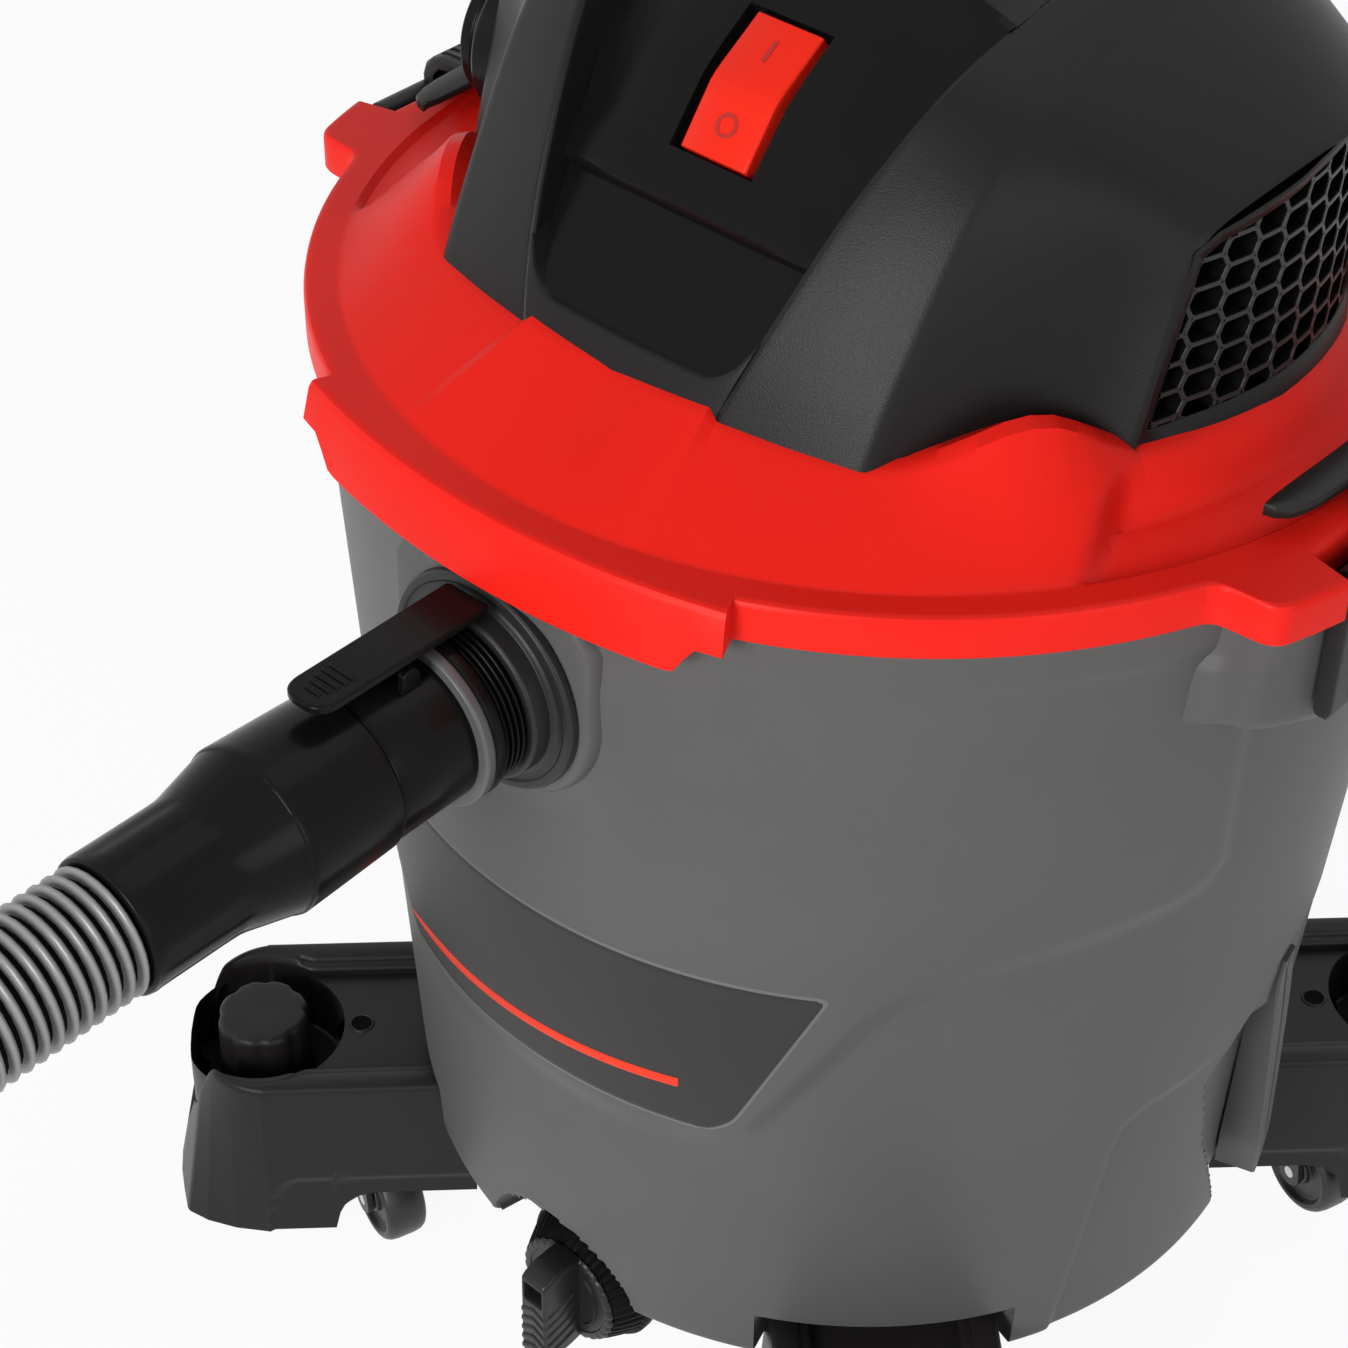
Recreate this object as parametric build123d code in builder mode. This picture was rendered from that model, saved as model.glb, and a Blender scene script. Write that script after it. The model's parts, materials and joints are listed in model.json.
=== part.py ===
"""Wet and dry shop vacuum: drum on four caster arms, lift-off motor head, filter and hose.

Millimetres. The origin is on the floor under the drum's axis, +Z is up and the hose
inlet faces -Y.
"""
import math
import os

from build123d import *

os.makedirs("parts", exist_ok=True)

# Fits and walls
RUN = 0.08  # radial play of a shaft in its hole
GAP = 0.4  # gap between pieces that move past each other
WALL = 4.0  # moulded wall

# Drum
DRUM_BASE_Z = 110.0
DRUM_BASE_R = 196.5
DRUM_TOP_R = 223.5
DRUM_FLOOR = 5.0
BASE_ROUND = 12.0
SHIELD_T = 3.0  # the raised front panel stands this far off the cone

# Lid rim
FLANGE_Z = 540.0  # top of the flat rim
RIM_R = 230.0
RIM_H = 17.0
RIM_WALL = 3.5
LID_PLATE = 5.0
GASKET_T = 4.0
SLOPE_R = 216.5  # the red slope starts here
DECK_Z = 556.0  # top of the deck that carries the motor
DECK_T = 5.0
DRUM_TOP_Z = FLANGE_Z - LID_PLATE - GASKET_T - GAP

# Visor over the inlet
VISOR_X = 102.0
VISOR_CORNER_Y = -215.0
VISOR_Y = -231.0
VISOR_DROP = 30.0

# Latch tabs and latches
TAB_X = 252.0
TAB_ROOT_X = 214.0
TAB_Y = 87.0
NOTCH_X = 227.0
NOTCH_Y = 57.0
TROUGH_X = 178.0
TROUGH_Y = 58.0
TROUGH_Z = 538.0
BOSS_X = 236.0  # face of the drum's latch boss
BOSS_Y = 78.0
BOSS_LOW = 450.0
LATCH_Y = 50.0
LATCH_T = 6.0
LATCH_DROP = 60.0
LATCH_PIN_R = 3.0
LATCH_PIN_Y = 64.0
LATCH_PIN_X = 240.0
LATCH_PIN_Z = FLANGE_Z - 9.0
LATCH_LIP_Z = 552.0
LATCH_LIP_T = 5.0

# Hose inlet
INLET_Z = 463.0
INLET_FACE = -226.0  # flat pad on the drum
PAD_R = 50.0
PAD_TOP_Z = 508.0
PORT_PLATE_R = 45.0
PORT_PLATE_T = 5.0
PORT_SLEEVE_R = 33.0
PORT_END = -239.5
PORT_RING_R = 36.0
PORT_BORE_R = 29.5
SLEEVE_END = -205.0
DEFLECTOR_END = -176.0

# Drain
DRAIN_Z = 86.0
SUMP_X = 30.0
SUMP_FRONT = -157.0
SUMP_BACK = -105.0
NECK_R = 20.0
NECK_BORE_R = 15.0
NECK_END = -181.0
DRAIN_CAP_R = 35.0
DRAIN_FACE_R = 26.5
DRAIN_CAP_BACK = -168.0
DRAIN_CAP_FRONT = -190.0
DRAIN_GRIP = (14.8, 56.0, 21.5)  # width, height, depth
DRAIN_SKIN = 4.0
DRAIN_TRAVEL = 8.0
ARCH_Z = 99.0
ARCH = ((-165.0, 39.0), (-178.0, 39.5), (-199.0, 46.0), (-230.0, 56.0))  # dished recess around the cap

# Caster arms, measured along the diagonal of each arm
ARM_ANGLES = {"front_right": -45, "front_left": -135, "rear_left": 135, "rear_right": 45}
ARM_TOP_Z = 128.0
ARM_SKIRT_Z = 35.0
ARM_LOW = (320.0, 53.0, 30.0)  # end, half width and corner radius at the bottom of the skirt
ARM_HIGH = (301.0, 48.5, 32.0)  # the same at the top
ARM_INNER = 150.0
ARM_WALL = 4.0
ARM_DECK = 14.0
CHANNEL_HALF = 34.4
CHANNEL_DEPTH = 8.0
POST_AT = 274.0
POST_R = 21.5
POST_TOP_Z = 131.0
WELL_R = 38.0
WELL_FLOOR_Z = 88.0
ARCH_TOP_Z = 64.0
ARCH_END = 244.0
STEM_AT = 228.0
STEM_R = 5.0
STEM_BOSS_R = 12.0
STEM_LOW_Z = 62.0
STEM_TOP_Z = 112.0

# Casters
TRAIL = 20.0
TRAIL_DEG = -18.6  # all four trail the same way, as after a push
WHEEL_R = 24.0
WHEEL_W = 21.0
AXLE_R = 3.0
FORK_T = 3.0
FORK_TOP_Z = 60.0

# Motor cover
COVER_R = 174.0
COVER_TOP_Z = 705.0
CROWN_AXIS_Y = 89.0
CROWN = ((250.0, 556.0), (229.0, 615.0), (187.0, 675.0))
CREASE = (107.0, 680.0)
SHOULDER_Z = 638.0
STRIP_IN = (80.0, 692.0)
ROOF_RISE = 0.16
CHEEK_AT = (126.7, 93.2, 607.1)
CHEEK_TURN = (0.722, 0.618, 0.311)
HANDLE_X = 62.0
HANDLE_POCKET = (-34.0, 66.0, 636.0)  # front, back, floor
CONSOLE_LOW = 46.0
CONSOLE_HIGH = 80.0
CONSOLE = ((-157.0, 575.0), (-126.0, 606.0), (-123.0, 613.0), (-109.0, 630.0),
           (-91.5, 653.0), (-62.0, 672.0), (-46.0, 700.0))
PANEL_T = 3.0
PANEL_IN = (2.1, -2.1)

# Power switch
ROCKER = ((-109.5, 629.1), (-92.4, 651.3), (-68.8, 666.6))
ROCKER_IN = (6.2, -7.8)
ROCKER_X = 15.3
ROCKER_GAP = 1.5

# Grille and blower outlet
GRILLE_Y = (-46.0, 64.0)
GRILLE_Z = (572.0, 630.0)
HEX_R = 7.0
HEX_APOTHEM = 7.4
BLOWER_Y = -22.0
BLOWER_Z = 584.0
BLOWER_R = 32.0
BLOWER_BORE_R = 28.9
BLOWER_END = -185.0

# Motor and blower
SHAFT_R = 5.0
SHAFT_LOW = 508.0
BEARING_R = 11.0
BEARING_T = 7.0
FAN_CASE_R = 84.0
FAN_CASE_LOW = 497.0
CASE_WALL = 3.0
FAN_INLET_R = 26.0
IMPELLER_R = 74.0
MOTOR_R = 52.0
MOTOR_TOP = 616.0
MOTOR_GASKET_T = 2.0
CORE_R = 24.0
CORE_Z = (568.0, 594.0)
STATOR_AIR = 0.8
COMMUTATOR_R = 12.0
COMMUTATOR_Z = (599.0, 607.0)
COOLING_R = 44.0
COOLING_Z = (620.0, 628.0)

# Filter
CAGE_R = 50.0
CAGE_LOW = 326.0
CAGE_RIBS = 8
BALL_R = 30.0
PLEAT_IN = 60.0
PLEAT_OUT = 90.0
PLEATS = 40
FILTER_TOP = 488.0
END_RING_R = 93.0
END_RING_T = 5.0
STUD_R = 6.0
NUT_R = 20.0
NUT_T = 12.0

# Hose
HOSE_R = 25.0
HOSE_GROOVE_R = 22.6
HOSE_BORE_R = 20.5
CONNECTOR_END = -298.0
CUFF_END = -405.0
FLOOR_Z = HOSE_R + 0.5
LOOP_R = 235.0
LOOP_STEP = 30.0
LOOP_STEPS = 8
END_STRAIGHT = 70.0
END_CUFF_L = 120.0
END_CUFF_R = 27.0
END_CUFF_BORE_R = 22.0
HOSE_ROUTE = [
    (0, CUFF_END, INLET_Z),
    (0, -505, 463),
    (-20, -598, 429.5),
    (-56.5, -668.5, 368),
    (-104, -706, 287.5),
    (-155.5, -704, 201),
    (-203.5, -741.5, 121),
    (-240, -812, 59),
    (-260, -905, FLOOR_Z),
]
LOOP_MID_Y = -974.0
RUN_SHARE = 0.46  # part of the hose's length that is off the floor
HOSE_RIBS = 190
RIB = ((0.0, HOSE_GROOVE_R), (0.22, HOSE_R), (0.62, HOSE_R), (0.84, HOSE_GROOVE_R))


def save(builder, name):
    """Label a finished piece and write it."""
    builder.part.label = name
    export_step(builder.part, "parts/" + name + ".step")


def drum_radius(z):
    """Outside radius of the drum's cone at a height."""
    share = (z - DRUM_BASE_Z) / (DRUM_TOP_Z - DRUM_BASE_Z)
    return DRUM_BASE_R + (DRUM_TOP_R - DRUM_BASE_R) * share


def turned(points):
    """A solid of revolution about the drum's axis from (radius, height) points."""
    with BuildPart() as solid:
        with BuildSketch(Plane.XZ):
            with BuildLine():
                Polyline(*points, close=True)
            make_face()
        revolve(axis=Axis.Z)
    return solid.part


def ring(radius, bore, low, high):
    """A plain upright ring on the drum's axis."""
    with BuildPart() as solid:
        with BuildSketch(Plane.XY.offset(low)):
            Circle(radius)
            Circle(bore, mode=Mode.SUBTRACT)
        extrude(amount=high - low)
    return solid.part


def along_y(points, half):
    """A prism between x = -half and half from (y, z) points."""
    with BuildPart() as solid:
        with BuildSketch(Plane.YZ):
            with BuildLine():
                Polyline(*points, close=True)
            make_face()
        extrude(amount=half, both=True)
    return solid.part


def turned_y(points, z):
    """A solid of revolution about the line along Y at x = 0 and height z, from (y, radius)."""
    with BuildPart() as solid:
        with BuildSketch(Plane(origin=(0, 0, z), x_dir=(0, 1, 0), z_dir=(1, 0, 0))):
            with BuildLine():
                Polyline(*points, close=True)
            make_face()
        revolve(axis=Axis((0, 0, z), (0, 1, 0)))
    return solid.part


def shifted(points, step):
    """Points moved by one step."""
    return [(a + step[0], b + step[1]) for a, b in points]


# Drum: a tapered tub with a raised front panel, inlet pad, latch bosses and a drain sump
drum_form = turned([
    (0, DRUM_BASE_Z),
    (DRUM_BASE_R - BASE_ROUND, DRUM_BASE_Z),
    (DRUM_BASE_R - 2, DRUM_BASE_Z + BASE_ROUND * 0.4),
    (drum_radius(DRUM_BASE_Z + BASE_ROUND), DRUM_BASE_Z + BASE_ROUND),
    (DRUM_TOP_R, DRUM_TOP_Z),
    (0, DRUM_TOP_Z),
])
drum_hollow = turned([
    (0, DRUM_BASE_Z + DRUM_FLOOR),
    (DRUM_BASE_R - WALL - BASE_ROUND * 0.6, DRUM_BASE_Z + DRUM_FLOOR),
    (drum_radius(DRUM_BASE_Z + BASE_ROUND) - WALL, DRUM_BASE_Z + BASE_ROUND + DRUM_FLOOR),
    (DRUM_TOP_R - WALL, DRUM_TOP_Z + 1),
    (0, DRUM_TOP_Z + 1),
])


def arch_form(grow):
    """The dished recess around the drain cap, made larger by a distance."""
    side = [(y, r + grow) for y, r in ARCH]
    side[0] = (ARCH[0][0] + grow, ARCH[0][1] + grow)
    return turned_y([(side[0][0], 0)] + side + [(side[-1][0], 0)], ARCH_Z)


with BuildPart() as drum_inside:
    add(drum_hollow)
    add(arch_form(WALL), mode=Mode.SUBTRACT)

with BuildPart() as shield:
    with BuildSketch(Plane.XZ):
        with BuildLine() as outline:
            right = Polyline((0, 252), (92, 254), (112, 304))
            sweep_out = Spline((112, 304), (126, 338), (146, 350), (182, 363), (204, 370))
            side = Polyline((204, 370), (212, 390), (214, 470), (214, 503), (0, 503))
            mirror(about=Plane.YZ)
        make_face()
    extrude(amount=RIM_R + 20)
    with BuildSketch(Plane.XZ):
        with BuildLine():
            Polyline(
                (drum_radius(240) - 2, 240), (drum_radius(240) + SHIELD_T, 240),
                (drum_radius(503) + SHIELD_T, 503), (drum_radius(503) - 2, 503), close=True)
        make_face()
    revolve(axis=Axis.Z, mode=Mode.INTERSECT)

with BuildPart() as drum:
    add(drum_form)
    add(shield.part)
    with BuildSketch(Plane.XZ.offset(180)):
        with Locations((0, INLET_Z)):
            Circle(PAD_R)
        with Locations((0, (INLET_Z + PAD_TOP_Z) / 2)):
            Rectangle(2 * PAD_R, PAD_TOP_Z - INLET_Z)
    extrude(amount=-INLET_FACE - 180)
    for side in (1, -1):
        with BuildSketch(Plane.XZ.offset(-BOSS_Y)):
            with BuildLine():
                Polyline(
                    (side * 190, BOSS_LOW), (side * 219, BOSS_LOW), (side * BOSS_X, BOSS_LOW + 16),
                    (side * BOSS_X, FLANGE_Z - RIM_H - 1), (side * 190, FLANGE_Z - RIM_H - 1),
                    close=True)
            make_face()
        extrude(amount=2 * BOSS_Y)
    add(ring(DRUM_TOP_R + 1.5, DRUM_TOP_R - WALL, 506, FLANGE_Z - RIM_H - 1))
    add(arch_form(0), mode=Mode.SUBTRACT)
    with BuildSketch(Plane.XY.offset(DRAIN_Z - NECK_R - 6)):
        with Locations((0, (SUMP_FRONT + SUMP_BACK) / 2)):
            RectangleRounded(2 * SUMP_X, SUMP_BACK - SUMP_FRONT, 10)
    extrude(amount=DRUM_BASE_Z + 3 - (DRAIN_Z - NECK_R - 6))
    add(drum_inside.part, mode=Mode.SUBTRACT)
    with BuildSketch(Plane.XY.offset(DRAIN_Z - NECK_R - 6 + WALL)):
        with Locations((0, (SUMP_FRONT + SUMP_BACK + WALL) / 2)):
            RectangleRounded(2 * (SUMP_X - WALL), SUMP_BACK - SUMP_FRONT - 3 * WALL, 6)
    extrude(amount=DRUM_BASE_Z + 10 - (DRAIN_Z - NECK_R - 6 + WALL), mode=Mode.SUBTRACT)
    with BuildSketch(Plane.XZ.offset(-SUMP_FRONT)):
        with Locations((0, DRAIN_Z)):
            Circle(NECK_R)
    extrude(amount=SUMP_FRONT - NECK_END)
    with BuildSketch(Plane.XZ.offset(-SUMP_FRONT - 2 * WALL)):
        with Locations((0, DRAIN_Z)):
            Circle(NECK_BORE_R)
    extrude(amount=60, mode=Mode.SUBTRACT)
    with BuildSketch(Plane.XZ.offset(180)):
        with Locations((0, INLET_Z)):
            Circle(PORT_SLEEVE_R)
    extrude(amount=60, mode=Mode.SUBTRACT)
save(drum, "drum")

# Inlet: a bolted-on plate with a sleeve through the wall and a deflector inside
with BuildPart() as inlet_port:
    add(turned_y([
        (SLEEVE_END, PORT_BORE_R), (SLEEVE_END, PORT_SLEEVE_R), (INLET_FACE, PORT_SLEEVE_R),
        (INLET_FACE, PORT_PLATE_R), (INLET_FACE - PORT_PLATE_T, PORT_PLATE_R - 1),
        (INLET_FACE - PORT_PLATE_T, PORT_RING_R), (PORT_END, PORT_RING_R - 1.5),
        (PORT_END, PORT_BORE_R)], INLET_Z))
save(inlet_port, "inlet_port")

with BuildPart() as inlet_deflector:
    add(turned_y([
        (SLEEVE_END, PORT_BORE_R), (SLEEVE_END, PORT_SLEEVE_R + 2), (DEFLECTOR_END, PORT_SLEEVE_R + 2),
        (DEFLECTOR_END, 0), (DEFLECTOR_END - 3, 0), (DEFLECTOR_END - 3, PORT_BORE_R)], INLET_Z))
    with BuildSketch(Plane.XZ.offset(-DEFLECTOR_END + 3)):
        with Locations((-PORT_SLEEVE_R, INLET_Z - 12)):
            Rectangle(2 * PORT_SLEEVE_R, 60)
    extrude(amount=DEFLECTOR_END - SLEEVE_END - 8, mode=Mode.SUBTRACT)
save(inlet_deflector, "inlet_deflector")

# Drain: a cap that screws on the neck, with its gasket
with BuildPart() as drain_cap:
    add(turned_y([
        (DRAIN_CAP_BACK, NECK_R + GAP), (DRAIN_CAP_BACK, DRAIN_CAP_R),
        (DRAIN_CAP_BACK - 6, DRAIN_CAP_R), (DRAIN_CAP_FRONT, DRAIN_FACE_R), (DRAIN_CAP_FRONT, 0),
        (DRAIN_CAP_FRONT + DRAIN_SKIN, 0), (DRAIN_CAP_FRONT + DRAIN_SKIN, NECK_R + GAP)], DRAIN_Z))
    with BuildSketch(Plane.XZ.offset(-DRAIN_CAP_BACK)):
        with Locations((0, DRAIN_Z)):
            with PolarLocations(DRAIN_CAP_R + 1.5, 16):
                Circle(3)
    extrude(amount=40, mode=Mode.SUBTRACT)
    with BuildSketch(Plane.XZ.offset(-DRAIN_CAP_FRONT)):
        with Locations((0, DRAIN_Z)):
            RectangleRounded(DRAIN_GRIP[0], DRAIN_GRIP[1], 3)
    extrude(amount=DRAIN_GRIP[2])
save(drain_cap, "drain_cap")

with BuildPart() as drain_gasket:
    gasket_y = DRAIN_CAP_FRONT + DRAIN_SKIN + GAP
    add(turned_y([
        (gasket_y, NECK_BORE_R), (gasket_y, NECK_R), (NECK_END - GAP, NECK_R),
        (NECK_END - GAP, NECK_BORE_R)], DRAIN_Z))
save(drain_gasket, "drain_gasket")

# Caster arms: hollow outriggers with an accessory post, and the swivel casters under them
def arm_form(arm, inset):
    """An arm's drafted box with a rounded end, drawn in by a distance."""
    with BuildPart() as form:
        for z, (end, half, corner) in ((ARM_SKIRT_Z, ARM_LOW), (ARM_TOP_Z, ARM_HIGH)):
            with BuildSketch(arm.offset(z)) as level:
                with Locations(((ARM_INNER + end) / 2 - inset, 0)):
                    Rectangle(end - ARM_INNER, 2 * (half - inset))
                fillet(level.vertices().sort_by(Axis.X)[-2:], radius=corner - inset)
        loft()
    return form.part


for place, angle in ARM_ANGLES.items():
    out = (math.cos(math.radians(angle)), math.sin(math.radians(angle)), 0)
    arm = Plane(origin=(0, 0, 0), x_dir=out, z_dir=(0, 0, 1))
    with BuildPart() as arm_hollow:
        add(arm_form(arm, ARM_WALL))
        with BuildSketch(arm.offset(ARM_TOP_Z - ARM_DECK)):
            with Locations((POST_AT, 0)):
                Circle(2 * POST_AT)
        extrude(amount=2 * ARM_DECK, mode=Mode.SUBTRACT)
        with BuildSketch(arm.offset(WELL_FLOOR_Z - ARM_WALL)):
            with Locations((POST_AT, 0)):
                Circle(WELL_R + ARM_WALL)
        extrude(amount=ARM_TOP_Z - WELL_FLOOR_Z, mode=Mode.SUBTRACT)
    with BuildPart() as caster_arm:
        add(arm_form(arm, 0))
        add(arm_hollow.part, mode=Mode.SUBTRACT)
        with BuildSketch(arm.offset(ARM_TOP_Z - CHANNEL_DEPTH)):
            with Locations(((ARM_INNER + POST_AT) / 2, 0)):
                Rectangle(POST_AT - ARM_INNER, 2 * CHANNEL_HALF)
        extrude(amount=2 * CHANNEL_DEPTH, mode=Mode.SUBTRACT)
        with BuildSketch(arm.offset(WELL_FLOOR_Z)):
            with Locations((POST_AT, 0)):
                Circle(WELL_R)
                Circle(POST_R, mode=Mode.SUBTRACT)
        extrude(amount=60, mode=Mode.SUBTRACT)
        with BuildSketch(arm.offset(WELL_FLOOR_Z)):
            with Locations((POST_AT, 0)):
                Circle(POST_R)
                with PolarLocations(POST_R + 1, 5, start_angle=36):
                    Circle(3, mode=Mode.SUBTRACT)
        extrude(amount=POST_TOP_Z - WELL_FLOOR_Z)
        with BuildSketch(arm.offset(STEM_LOW_Z)):
            with Locations((STEM_AT, 0)):
                Circle(STEM_BOSS_R)
        extrude(amount=ARM_TOP_Z - CHANNEL_DEPTH - STEM_LOW_Z)
        with BuildSketch(arm.offset(STEM_LOW_Z)):
            with Locations((STEM_AT, 0)):
                Circle(STEM_R + RUN)
        extrude(amount=60, mode=Mode.SUBTRACT)
        arch = Plane(origin=(0, 0, 0), x_dir=out, z_dir=arm.y_dir)
        with BuildSketch(arch):
            with BuildLine():
                Polyline(
                    (ARM_INNER - 20, -ARM_SKIRT_Z + 5), (ARM_INNER - 20, -ARCH_TOP_Z),
                    (ARCH_END - 16, -ARCH_TOP_Z), (ARCH_END - 4, -ARCH_TOP_Z + 10),
                    (ARCH_END, -ARM_SKIRT_Z + 5), close=True)
            make_face()
            with Locations((STEM_AT, -ARCH_TOP_Z)):
                Rectangle(4 * STEM_BOSS_R, 4, mode=Mode.SUBTRACT)
        extrude(amount=2 * ARM_LOW[1], both=True, mode=Mode.SUBTRACT)
        add(drum_form, mode=Mode.SUBTRACT)
    save(caster_arm, "caster_arm_" + place)

    at = Vector(out[0] * STEM_AT, out[1] * STEM_AT, 0)
    turn = math.radians(TRAIL_DEG)
    trail = Vector(math.cos(turn), math.sin(turn), 0)
    hub = at + trail * TRAIL + Vector(0, 0, WHEEL_R)
    level = Plane(origin=at, x_dir=trail, z_dir=(0, 0, 1))
    across = Plane(origin=hub, x_dir=trail, z_dir=level.y_dir)
    leg_in = WHEEL_W / 2 + 2 * GAP

    with BuildPart() as caster_fork:
        with BuildSketch(level.offset(FORK_TOP_Z - FORK_T)):
            with Locations((0, 0), (TRAIL, 0)):
                Circle(leg_in + FORK_T)
            with Locations((TRAIL / 2, 0)):
                Rectangle(TRAIL, 2 * (leg_in + FORK_T))
        extrude(amount=FORK_T)
        with BuildSketch(level.offset(FORK_TOP_Z)):
            Circle(STEM_R)
        extrude(amount=STEM_TOP_Z - FORK_TOP_Z)
        for side in (1, -1):
            with BuildSketch(across.offset(side * leg_in)):
                Circle(2.4 * AXLE_R)
                with BuildLine():
                    Polyline(
                        (-2.4 * AXLE_R, 0), (2.4 * AXLE_R, 0), (1.5, -FORK_TOP_Z + FORK_T + WHEEL_R),
                        (-TRAIL, -FORK_TOP_Z + FORK_T + WHEEL_R), close=True)
                make_face()
            extrude(amount=side * FORK_T)
        with BuildSketch(across):
            Circle(AXLE_R)
        extrude(amount=30, both=True, mode=Mode.SUBTRACT)
    save(caster_fork, "caster_fork_" + place)

    with BuildPart() as caster_wheel:
        with BuildSketch(across.offset(-WHEEL_W / 2)):
            Circle(WHEEL_R)
        extrude(amount=WHEEL_W)
        fillet(caster_wheel.edges().filter_by(GeomType.CIRCLE), radius=4)
        with BuildSketch(across.offset(-WHEEL_W / 2)):
            Circle(AXLE_R + RUN)
        extrude(amount=WHEEL_W, mode=Mode.SUBTRACT)
    save(caster_wheel, "caster_wheel_" + place)

    with BuildPart() as caster_axle:
        with BuildSketch(across.offset(-leg_in - FORK_T)):
            Circle(AXLE_R)
        extrude(amount=2 * (leg_in + FORK_T))
    save(caster_axle, "caster_axle_" + place)

# Lid: rim, slope and deck, with the visor over the inlet and a tab for each latch
lid_form = turned([
    (0, DECK_Z - 60), (RIM_R, DECK_Z - 60), (RIM_R, FLANGE_Z), (SLOPE_R, FLANGE_Z), (178, 560.5),
    (158, 566), (0, 566)])

with BuildPart() as trough_block:
    with BuildSketch(Plane.XY.offset(FLANGE_Z - LID_PLATE)):
        for side in (1, -1):
            with Locations((side * (TROUGH_X + SLOPE_R) / 2, 0)):
                Rectangle(SLOPE_R - TROUGH_X + 2 * WALL, 2 * (TROUGH_Y + WALL))
    extrude(amount=40)
    add(lid_form, mode=Mode.INTERSECT)

with BuildPart() as lid_collar:
    add(turned([
        (RIM_R - RIM_WALL, FLANGE_Z - RIM_H), (RIM_R, FLANGE_Z - RIM_H), (RIM_R, FLANGE_Z),
        (SLOPE_R, FLANGE_Z), (178, 560.5), (158, 566), (146, 566), (146, DECK_Z),
        (40, DECK_Z), (40, DECK_Z - DECK_T), (187, DECK_Z - DECK_T), (205, FLANGE_Z + 1),
        (205, 516), (209, 516), (209, FLANGE_Z - LID_PLATE),
        (RIM_R - RIM_WALL, FLANGE_Z - LID_PLATE)]))
    with BuildSketch(Plane.XY.offset(FLANGE_Z - VISOR_DROP)):
        with BuildLine():
            ThreePointArc((-VISOR_X, VISOR_CORNER_Y), (0, VISOR_Y), (VISOR_X, VISOR_CORNER_Y))
            Line((VISOR_X, VISOR_CORNER_Y), (VISOR_X - 2, VISOR_CORNER_Y + 3.5))
            ThreePointArc(
                (VISOR_X - 2, VISOR_CORNER_Y + 3.5), (0, VISOR_Y + 4), (2 - VISOR_X, VISOR_CORNER_Y + 3.5))
            Line((2 - VISOR_X, VISOR_CORNER_Y + 3.5), (-VISOR_X, VISOR_CORNER_Y))
        make_face()
    extrude(amount=VISOR_DROP)
    with BuildSketch(Plane.XY.offset(FLANGE_Z - LID_PLATE)):
        with BuildLine():
            ThreePointArc((-VISOR_X, VISOR_CORNER_Y), (0, VISOR_Y), (VISOR_X, VISOR_CORNER_Y))
            Polyline(
                (VISOR_X, VISOR_CORNER_Y), (VISOR_X - 10, VISOR_CORNER_Y + 18),
                (10 - VISOR_X, VISOR_CORNER_Y + 18), (-VISOR_X, VISOR_CORNER_Y))
        make_face()
    extrude(amount=LID_PLATE)
    with BuildSketch(Plane.XY.offset(FLANGE_Z - RIM_H)):
        for side in (1, -1):
            with Locations((side * (TAB_ROOT_X - 10 + TAB_X) / 2, 0)):
                Rectangle(TAB_X - TAB_ROOT_X + 10, 2 * TAB_Y)
        Circle(TAB_X, mode=Mode.INTERSECT)
        Circle(RIM_R - 1, mode=Mode.SUBTRACT)
    extrude(amount=RIM_H)
    add(trough_block.part)
    with BuildSketch(Plane.XY.offset(TROUGH_Z)):
        for side in (1, -1):
            with Locations((side * (TROUGH_X + TAB_X) / 2, 0)):
                Rectangle(TAB_X - TROUGH_X, 2 * TROUGH_Y)
    extrude(amount=40, mode=Mode.SUBTRACT)
    with BuildSketch(Plane.XY.offset(FLANGE_Z - RIM_H - 1)):
        for side in (1, -1):
            with Locations((side * (NOTCH_X + TAB_X) / 2 + side * 5, 0)):
                Rectangle(TAB_X - NOTCH_X + 10, 2 * NOTCH_Y)
    extrude(amount=40, mode=Mode.SUBTRACT)
    with BuildSketch(Plane.YZ.offset(BLOWER_END)):
        with Locations((BLOWER_Y, BLOWER_Z)):
            Circle(BLOWER_R + GAP)
    extrude(amount=45, mode=Mode.SUBTRACT)
    for side in (1, -1):
        with BuildSketch(Plane.XZ.offset(-LATCH_PIN_Y)):
            with Locations((side * LATCH_PIN_X, LATCH_PIN_Z)):
                Circle(LATCH_PIN_R)
        extrude(amount=2 * LATCH_PIN_Y, mode=Mode.SUBTRACT)
    with BuildSketch(Plane.XY.offset(DECK_Z - DECK_T)):
        with PolarLocations(166, 4, start_angle=45):
            Circle(2)
        with PolarLocations(68, 6):
            Circle(7)
    extrude(amount=20, mode=Mode.SUBTRACT)
save(lid_collar, "lid_collar")

with BuildPart() as lid_gasket:
    add(ring(DRUM_TOP_R + 1, DRUM_TOP_R - WALL - 3, DRUM_TOP_Z + GAP, FLANGE_Z - LID_PLATE))
save(lid_gasket, "lid_gasket")

with BuildPart() as cover_screws:
    with BuildSketch(Plane.XY.offset(DECK_Z - DECK_T)):
        with PolarLocations(166, 4, start_angle=45):
            Circle(2)
    extrude(amount=10)
    with BuildSketch(Plane.XY.offset(DECK_Z - DECK_T)):
        with PolarLocations(166, 4, start_angle=45):
            Circle(4.5)
    extrude(amount=-3)
save(cover_screws, "cover_screws")

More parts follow.
